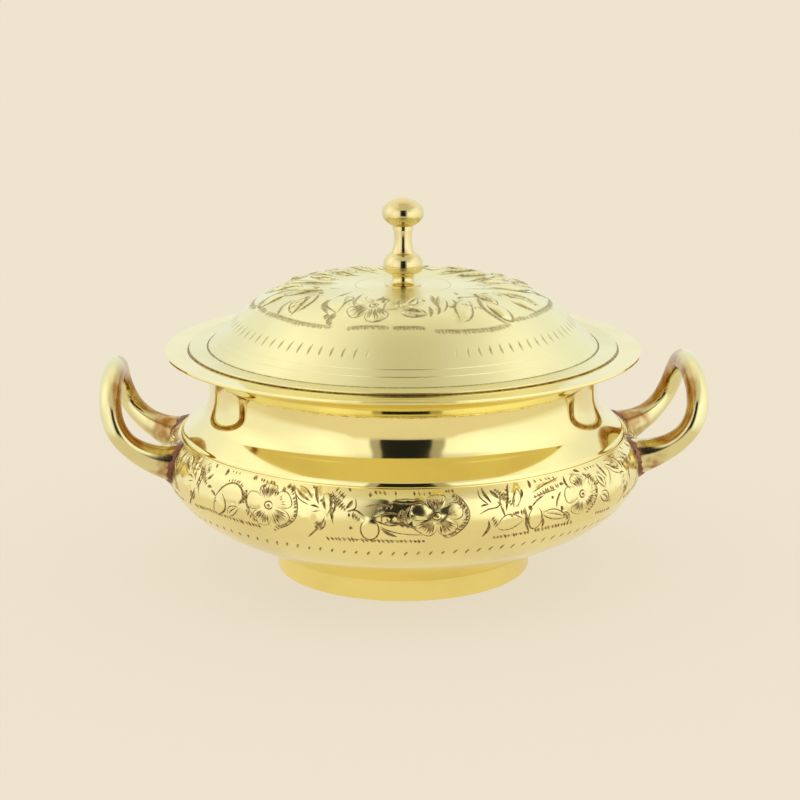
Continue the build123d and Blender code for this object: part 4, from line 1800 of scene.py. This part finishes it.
@dataclass
class LidShell:
    """The spun lid: a flat brim, a straight slope, a crowned top, and the collar under it."""

    wall: float = 1.0
    radius: float = 85.5
    crease_radius: float = 78.0
    brim_top: float = 91.7
    slope: float = 43.0
    slope_run: float = 13.68
    dome_bend: float = 40.0
    crown_height: float = 115.2
    collar_radius: float = 76.0
    collar_wall: float = 1.2
    collar_foot: float = 82.0
    band_inner: float = 24.0
    band_outer: float = 70.0
    band_start: float = -158.0
    band_radius: float = 56.023

    def top(self, ringed: bool) -> Outline:
        """Return the upper side from the brim's edge in to the centre, with its turned rings or without."""
        pen = Outline(self.radius - 0.25, self.brim_top, 180)
        grade = math.tan(math.radians(self.slope))
        if ringed:
            pen.line(self.crease_radius + 0.55, self.brim_top, 2).notch(0.55, 0.35)
            pen.line(self.crease_radius - 0.35, self.brim_top + 0.35 * grade)
            for radius in (74.8, 72.4):
                pen.line(radius, self.brim_top + (self.crease_radius - radius) * grade, 3).notch(0.45, 0.1)
        else:
            pen.line(self.crease_radius, self.brim_top, 2)
        pen.line(self.crease_radius - self.slope_run, self.brim_top + self.slope_run * grade, 3)
        pen.bend(self.dome_bend, self.slope, 2)
        if ringed:
            pen.line(19.5, pen.z, 5).notch(0.9, 0.18)
        return pen.line(0.0, pen.z, 5)

    def engraved_shell(self, finishes: Finishes) -> Mesh:
        """Make the lid: its inside, its brim, the engraved band and its plain crown."""
        pen = self.top(True)
        run = Run(pen.spots)
        lining = self.top(False).lining(self.wall)
        edge = Outline(self.radius - 0.62, self.brim_top - self.wall)
        edge.bend(0.62, 90, 15).ahead(0.13).bend(0.25, 90, 30)
        order = np.argsort(run.spots[:, 0], kind="stable")
        radii, along = run.spots[order, 0], run.along[order]
        top = -self.band_inner

        def ruler(v: np.ndarray) -> np.ndarray:
            """Return the length along the outline where the radius is -v."""
            return np.interp(-v, radii, along)

        pattern = Pattern(top, SEED + 1, 2.5, 3.7, 1.36).lid()
        band = EngravedBand(run, pattern, -self.band_outer, top, 3, self.band_start, self.band_radius, ruler)
        low, high = float(ruler(np.array(band.low))), float(ruler(np.array(band.high)))
        brim = lining[:-1] + edge.spots + run.part(0.0, low)
        skirt = spin(brim, finishes.brushed, finishes.bare)
        crown = spin(run.part(high, run.along[-1]), finishes.brushed)
        # The lid's crease and the underside of its brim get painted shade.
        paint_grime_and_shade(skirt, self.grime_and_shade)
        paint_grime_and_shade(crown, self.grime_and_shade)
        parts = [skirt, band.build(finishes.brushed), crown]
        return join(parts, [finishes.brushed, finishes.bare])

    def grime_and_shade(self, radius: float, height: float) -> float:
        """Return how dark the lid is there: painted shade in its crease and under the brim's edge, and a
        darker line in the crown's ring.
        """
        # Painted shade in the crease and under the brim's edge; the crown's ring is just darker.
        crease = 1.0 if self.crease_radius - 0.1 < radius < self.crease_radius + 0.45 else 0.0
        under = 0.5 * (self.brim_top - 0.6 - height) if radius > self.radius - 0.8 else 0.0
        ring = 0.45 if height > self.crown_height - 0.3 and 19.0 < radius < 19.1 else 0.0
        return clamp(max(crease, under, ring))

    def build(self, finishes: Finishes) -> None:
        """Make the lid's shell and its collar."""
        finish_piece("brushed_lid", self.engraved_shell(finishes), Body.LID, ["lid_shell"])
        inner = self.collar_radius - self.collar_wall
        under = self.brim_top - self.wall / math.cos(math.radians(self.slope)) + 0.2
        grade = math.tan(math.radians(self.slope))
        ring = Outline(inner, self.collar_foot).line(self.collar_radius, self.collar_foot)
        ring.line(self.collar_radius, under + (self.crease_radius - self.collar_radius) * grade)
        ring.line(inner, under + (self.crease_radius - inner) * grade).line(inner, self.collar_foot)
        mesh = spin(ring.spots, finishes.bare)
        finish_piece("lid_seat_collar", mesh, Body.LID, ["lid_collar"])


@dataclass
class Knob:
    """The turned knob: a foot, a grooved bulb, a waist, a lip and a flattened ball."""

    foot_height: float = 115.2
    bore_radius: float = 2.1
    bore_depth: float = 11.0
    ball_radius: float = 8.6
    ball_edge_bend: float = 4.4
    ball_seat: Point = (4.3, 23.8)

    def outline(self) -> Outline:
        """Return the knob's outline from the bore's end to the top."""
        pen = Outline(0.0, self.bore_depth).line(self.bore_radius, self.bore_depth)
        pen.line(self.bore_radius, 0.0).line(7.4, 0.0, 1).line(7.4, 0.5)
        pen.arrive(4.2, 3.2, 90).line(4.8, 4.6)
        pen.arrive(8.1, 7.65, 90).line(7.75, 8.0).line(8.1, 8.35)
        pen.heading = math.radians(90)
        pen.leave(4.9, 13.2).arrive(3.6, 18.3, 90).leave(3.85, 22.2)
        pen.line(4.3, 22.2).line(*self.ball_seat)
        cap = (self.ball_radius - self.ball_edge_bend * (1 - math.sqrt(0.5))) / math.sqrt(0.5)
        seat = math.degrees(math.asin(self.ball_seat[0] / cap))
        pen.heading = math.radians(seat)
        pen.bend(cap, 45 - seat).bend(self.ball_edge_bend, 90)
        return pen.bend(cap, 45)

    def build(self, finishes: Finishes) -> None:
        """Make the knob."""
        spots = [(r, z + self.foot_height, *facing) for r, z, *facing in self.outline().spots]
        mesh = spin(spots, finishes.turned, steps=168)
        finish_piece("turned_knob", mesh, Body.LID, ["knob"])


# The studio


# The tent's light, row by row up from the floor at TENT_RISES, across at TENT_SIDES, both in degrees.
TENT_SIDES = (-180, -120, -90, -60, -40, -25, 25, 40, 60, 90, 120, 180)
TENT_RISES = (-15, 0, 20, 30, 40, 50, 60, 90)
TENT_LIGHT = (
    (1.05, 1.05, 1.0, 1.05, 1.08, 1.05, 1.1, 1.12, 1.12, 1.1, 1.05, 1.05),
    (1.05, 1.05, 1.0, 1.12, 1.25, 1.1, 1.2, 1.3, 1.25, 1.15, 1.08, 1.05),
    (1.1, 1.1, 1.3, 1.2, 1.34, 1.1, 1.25, 1.4, 1.35, 1.2, 1.1, 1.1),
    (1.1, 1.15, 1.4, 1.2, 1.32, 1.1, 1.2, 1.38, 1.35, 1.2, 1.1, 1.1),
    (1.1, 1.15, 1.38, 1.2, 1.2, 1.0, 0.9, 0.95, 1.3, 1.25, 1.12, 1.1),
    (1.1, 1.15, 1.35, 1.1, 1.0, 0.85, 0.8, 0.85, 1.05, 1.2, 1.1, 1.1),
    (1.1, 1.1, 1.15, 0.94, 0.76, 0.72, 0.72, 0.72, 0.76, 0.84, 1.0, 1.1),
    (0.9, 0.9, 0.88, 0.84, 0.78, 0.76, 0.74, 0.72, 0.72, 0.76, 0.8, 0.9),
)
# The light's tint overhead and behind, the grey strip at the front, and the dark patch in it.
TENT_WARM = (1.0, 0.95, 0.84)
TENT_COOL = (0.88, 0.91, 0.93)
TENT_GREY = (0.46, 0.42, 0.34)
TENT_HIGH_GREY = (0.75, 0.69, 0.53)
TENT_DARK = 0.018
# The foot of the tent's wall comes in at the sides: degrees off the front, and its radius there.
TENT_FOOT = ((20, 37, 54, 80), (0.335, 0.236, 0.206, 0.184))


def within(value: np.ndarray, low: float, high: float, soft: float) -> np.ndarray:
    """Return 1 where value is between low and high and 0 outside, with soft edges."""
    rise = np.clip((value - low) / soft + 0.5, 0, 1)
    fall = np.clip((high - value) / soft + 0.5, 0, 1)
    return rise * rise * (3 - 2 * rise) * fall * fall * (3 - 2 * fall)


def blend(first: np.ndarray, second: np.ndarray | Triple | float, share: np.ndarray) -> np.ndarray:
    """Return rows of colours mixed with second, by a share for each row."""
    return first + (np.array(second) - first) * share[:, None]


@dataclass
class Studio:
    """A pale floor, a small white light tent that only reflections see, and the camera."""

    ground: Triple = (0.863, 0.776, 0.617)
    pot_turn: float = -3.09
    tent_radius: float = 0.335
    tent_wall: float = 0.2
    tent_steps: int = 900
    tent_eye: float = 0.07
    cove: float = 0.06
    camera_place: Triple = (-0.0423, -0.7833, 0.2645)
    camera_aim: Triple = (-0.0012, 0.00006, 0.06767)
    lens: float = 89.9
    plain_share: float = 0.8
    mirrored_share: float = 0.9

    def camera(self) -> None:
        """Set the camera at the photograph's angle."""
        data = bpy.data.cameras.new("camera")
        data.lens = self.lens
        data.sensor_width = 36.0
        data.clip_start = 0.01
        data.clip_end = 100.0
        view = add_object("camera", data)
        view.location = self.camera_place
        aim = Vector(self.camera_aim) - Vector(self.camera_place)
        view.rotation_euler = aim.to_track_quat("-Z", "Y").to_euler()
        bpy.context.scene.camera = view
        bpy.context.scene.view_settings.view_transform = "Standard"

    def world(self) -> None:
        """Light the floor evenly, and show the floor's colour past its end."""
        world = bpy.data.worlds.new("studio")
        bpy.context.scene.world = world
        wiring = clean_nodes(world)
        path = wiring.add("ShaderNodeLightPath").outputs
        seen = wiring.math("MAXIMUM", path["Is Camera Ray"], path["Is Glossy Ray"])
        seen = wiring.math("MAXIMUM", seen, path["Is Transmission Ray"])
        lit = wiring.get("ShaderNodeBackground", {"Color": (1.0, 1.0, 1.0, 1.0), "Strength": 1.0})
        shown = wiring.get("ShaderNodeBackground", {"Color": (*self.ground, 1.0), "Strength": 1.0})
        both = wiring.get("ShaderNodeMixShader", {0: seen, 1: lit, 2: shown})
        wiring.add("ShaderNodeOutputWorld", {0: both})

    def floor(self) -> None:
        """Lay the floor, a matt cream sheet well wider than the view."""
        mesh = bpy.data.meshes.new("floor")
        reach = 9.0
        corners = [(-reach, -reach, 0.0), (reach, -reach, 0.0), (reach, reach, 0.0), (-reach, reach, 0.0)]
        mesh.from_pydata(corners, [], [(0, 1, 2, 3)])
        sheet = add_object("floor", mesh)
        made = bpy.data.materials.new("cream floor")
        wiring = clean_nodes(made)
        colour = (*self.ground, 1.0)
        matt = wiring.get("ShaderNodeBsdfDiffuse", {"Color": colour})
        plain = wiring.get("ShaderNodeEmission", {"Color": colour, "Strength": 1.0})
        path = wiring.add("ShaderNodeLightPath").outputs
        share = wiring.math("MULTIPLY", path["Is Camera Ray"], self.plain_share)
        share = wiring.math("MULTIPLY_ADD", path["Is Glossy Ray"], self.mirrored_share, share)
        both = wiring.get("ShaderNodeMixShader", {0: share, 1: matt, 2: plain})
        wiring.add("ShaderNodeOutputMaterial", {0: both})
        mesh.materials.append(made)

    def glow(self, points: np.ndarray) -> np.ndarray:
        """Return the tent's light at points, in the frame that faces the camera.

        Args:
            points: Points of the tent, in rows of three, in metres.

        Returns:
            Red, green and blue at each point.
        """
        x, y, z = points.T
        side = np.degrees(np.arctan2(x, -y))
        rise = np.degrees(np.arctan2(z - self.tent_eye, np.hypot(x, y)))
        row = np.interp(rise, TENT_RISES, range(len(TENT_RISES)))
        level = np.zeros(len(points))
        for k, lights in enumerate(TENT_LIGHT):
            level += np.interp(side, TENT_SIDES, lights) * np.clip(1 - np.abs(row - k), 0, 1)
        white, off = np.ones((len(points), 3)), np.abs(side)
        light = level[:, None] * blend(white, TENT_WARM, within(rise, 50, 200, 30))
        light *= blend(white, TENT_COOL, within(off, 110, 400, 50) * within(rise, -90, 40, 20))
        grey = blend(white * TENT_GREY, TENT_HIGH_GREY, within(z, 0.40, 9.0, 0.06))
        light = blend(light, grey, within(x, -0.095, 0.120, 0.012) * within(y, -1.0, 0.09, 0.05))
        fade = 0.01 + 0.06 * np.maximum(within(off, 115, 400, 30), within(off, -30, 26, 6))
        light = blend(white * self.ground, light, np.clip(z / fade, 0, 1))
        dark = within(x, -0.066, 0.083, 0.004) * within(y, -1.0, 0.0, 0.01) * within(z, 0.04, 0.39, 0.012)
        return blend(light, TENT_DARK, dark)

    def tent(self) -> None:
        """Stand a domed tent round the bowl, seen by mirror reflections alone."""
        profile = [(self.tent_radius, z) for z in np.linspace(0.001, self.tent_wall, 60)]
        for angle in np.linspace(0, math.pi / 2, 120)[1:]:
            out, up = self.tent_radius * math.cos(angle), self.tent_radius * math.sin(angle)
            profile.append((out, self.tent_wall + up))
        away, up = np.array(profile).T[..., None]
        turn = np.linspace(0, TURN, self.tent_steps, endpoint=False)
        grid = np.stack([away * np.cos(turn), away * np.sin(turn), np.repeat(up, self.tent_steps, 1)], 2)
        off = np.abs((np.degrees(turn) + 90 + 180) % 360 - 180)
        foot = np.interp(off, *TENT_FOOT) / self.tent_radius
        low = np.clip(1 - grid[..., 2] / self.cove, 0, 1) ** 2
        grid[..., :2] *= (1 - (1 - foot) * low)[..., None]
        flat = grid.reshape(-1, 3)
        light = np.concatenate([self.glow(flat), np.ones((len(flat), 1))], 1)
        cos, sin = math.cos(math.radians(self.pot_turn)), math.sin(math.radians(self.pot_turn))
        spun = flat @ np.array([[cos, sin, 0], [-sin, cos, 0], [0, 0, 1]])
        mesh = bpy.data.meshes.new("light_tent")
        mesh.from_pydata(spun.tolist(), [], ring_faces(len(profile), self.tent_steps))
        store(mesh, "glow", "FLOAT_COLOR", "POINT", light.ravel())
        tent = add_object("light_tent", mesh)
        made = bpy.data.materials.new("tent cloth")
        wiring = clean_nodes(made)
        made.cycles.emission_sampling = "NONE"
        colour = wiring.add("ShaderNodeAttribute", attribute_name="glow").outputs["Color"]
        shine = wiring.get("ShaderNodeEmission", {"Color": colour, "Strength": 1.0})
        wiring.add("ShaderNodeOutputMaterial", {0: shine})
        mesh.materials.append(made)
        tent.visible_camera = False
        tent.visible_diffuse = False
        tent.visible_shadow = False
        tent.visible_transmission = False

    def build(self) -> None:
        """Set up the whole studio."""
        self.camera()
        self.world()
        self.floor()
        self.tent()


def dress_nodes(finishes: Finishes) -> None:
    """Give the CAD nodes that stay on show their finishes."""
    nodes = {
        "foot_braze": finishes.braze,
        "collar_braze": finishes.braze,
        "knob_washer": finishes.bare,
        "knob_screw": finishes.bare,
    }
    for name, material in nodes.items():
        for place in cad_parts[name].material_slots:
            place.material = material
        log.info("%s: finished as %s", name, material.name)


def main() -> None:
    """Build the whole scene."""
    logging.basicConfig(level=logging.INFO, format="%(name)s: %(message)s")
    Studio().build()
    finishes = Finishes()
    shell = BowlShell()
    shell.build(finishes)
    FootRing().build(shell, finishes)
    surface = shell.surface()
    fillets = HandleArch("handle_right", 1, seed=3).build(surface, finishes)
    fillets += HandleArch("handle_left", -1, seed=8).build(surface, finishes)
    braze_piece(fillets, finishes.braze)
    LidShell().build(finishes)
    Knob().build(finishes)
    dress_nodes(finishes)
    bpy.context.view_layer.update()


if __name__ == "__main__":
    main()
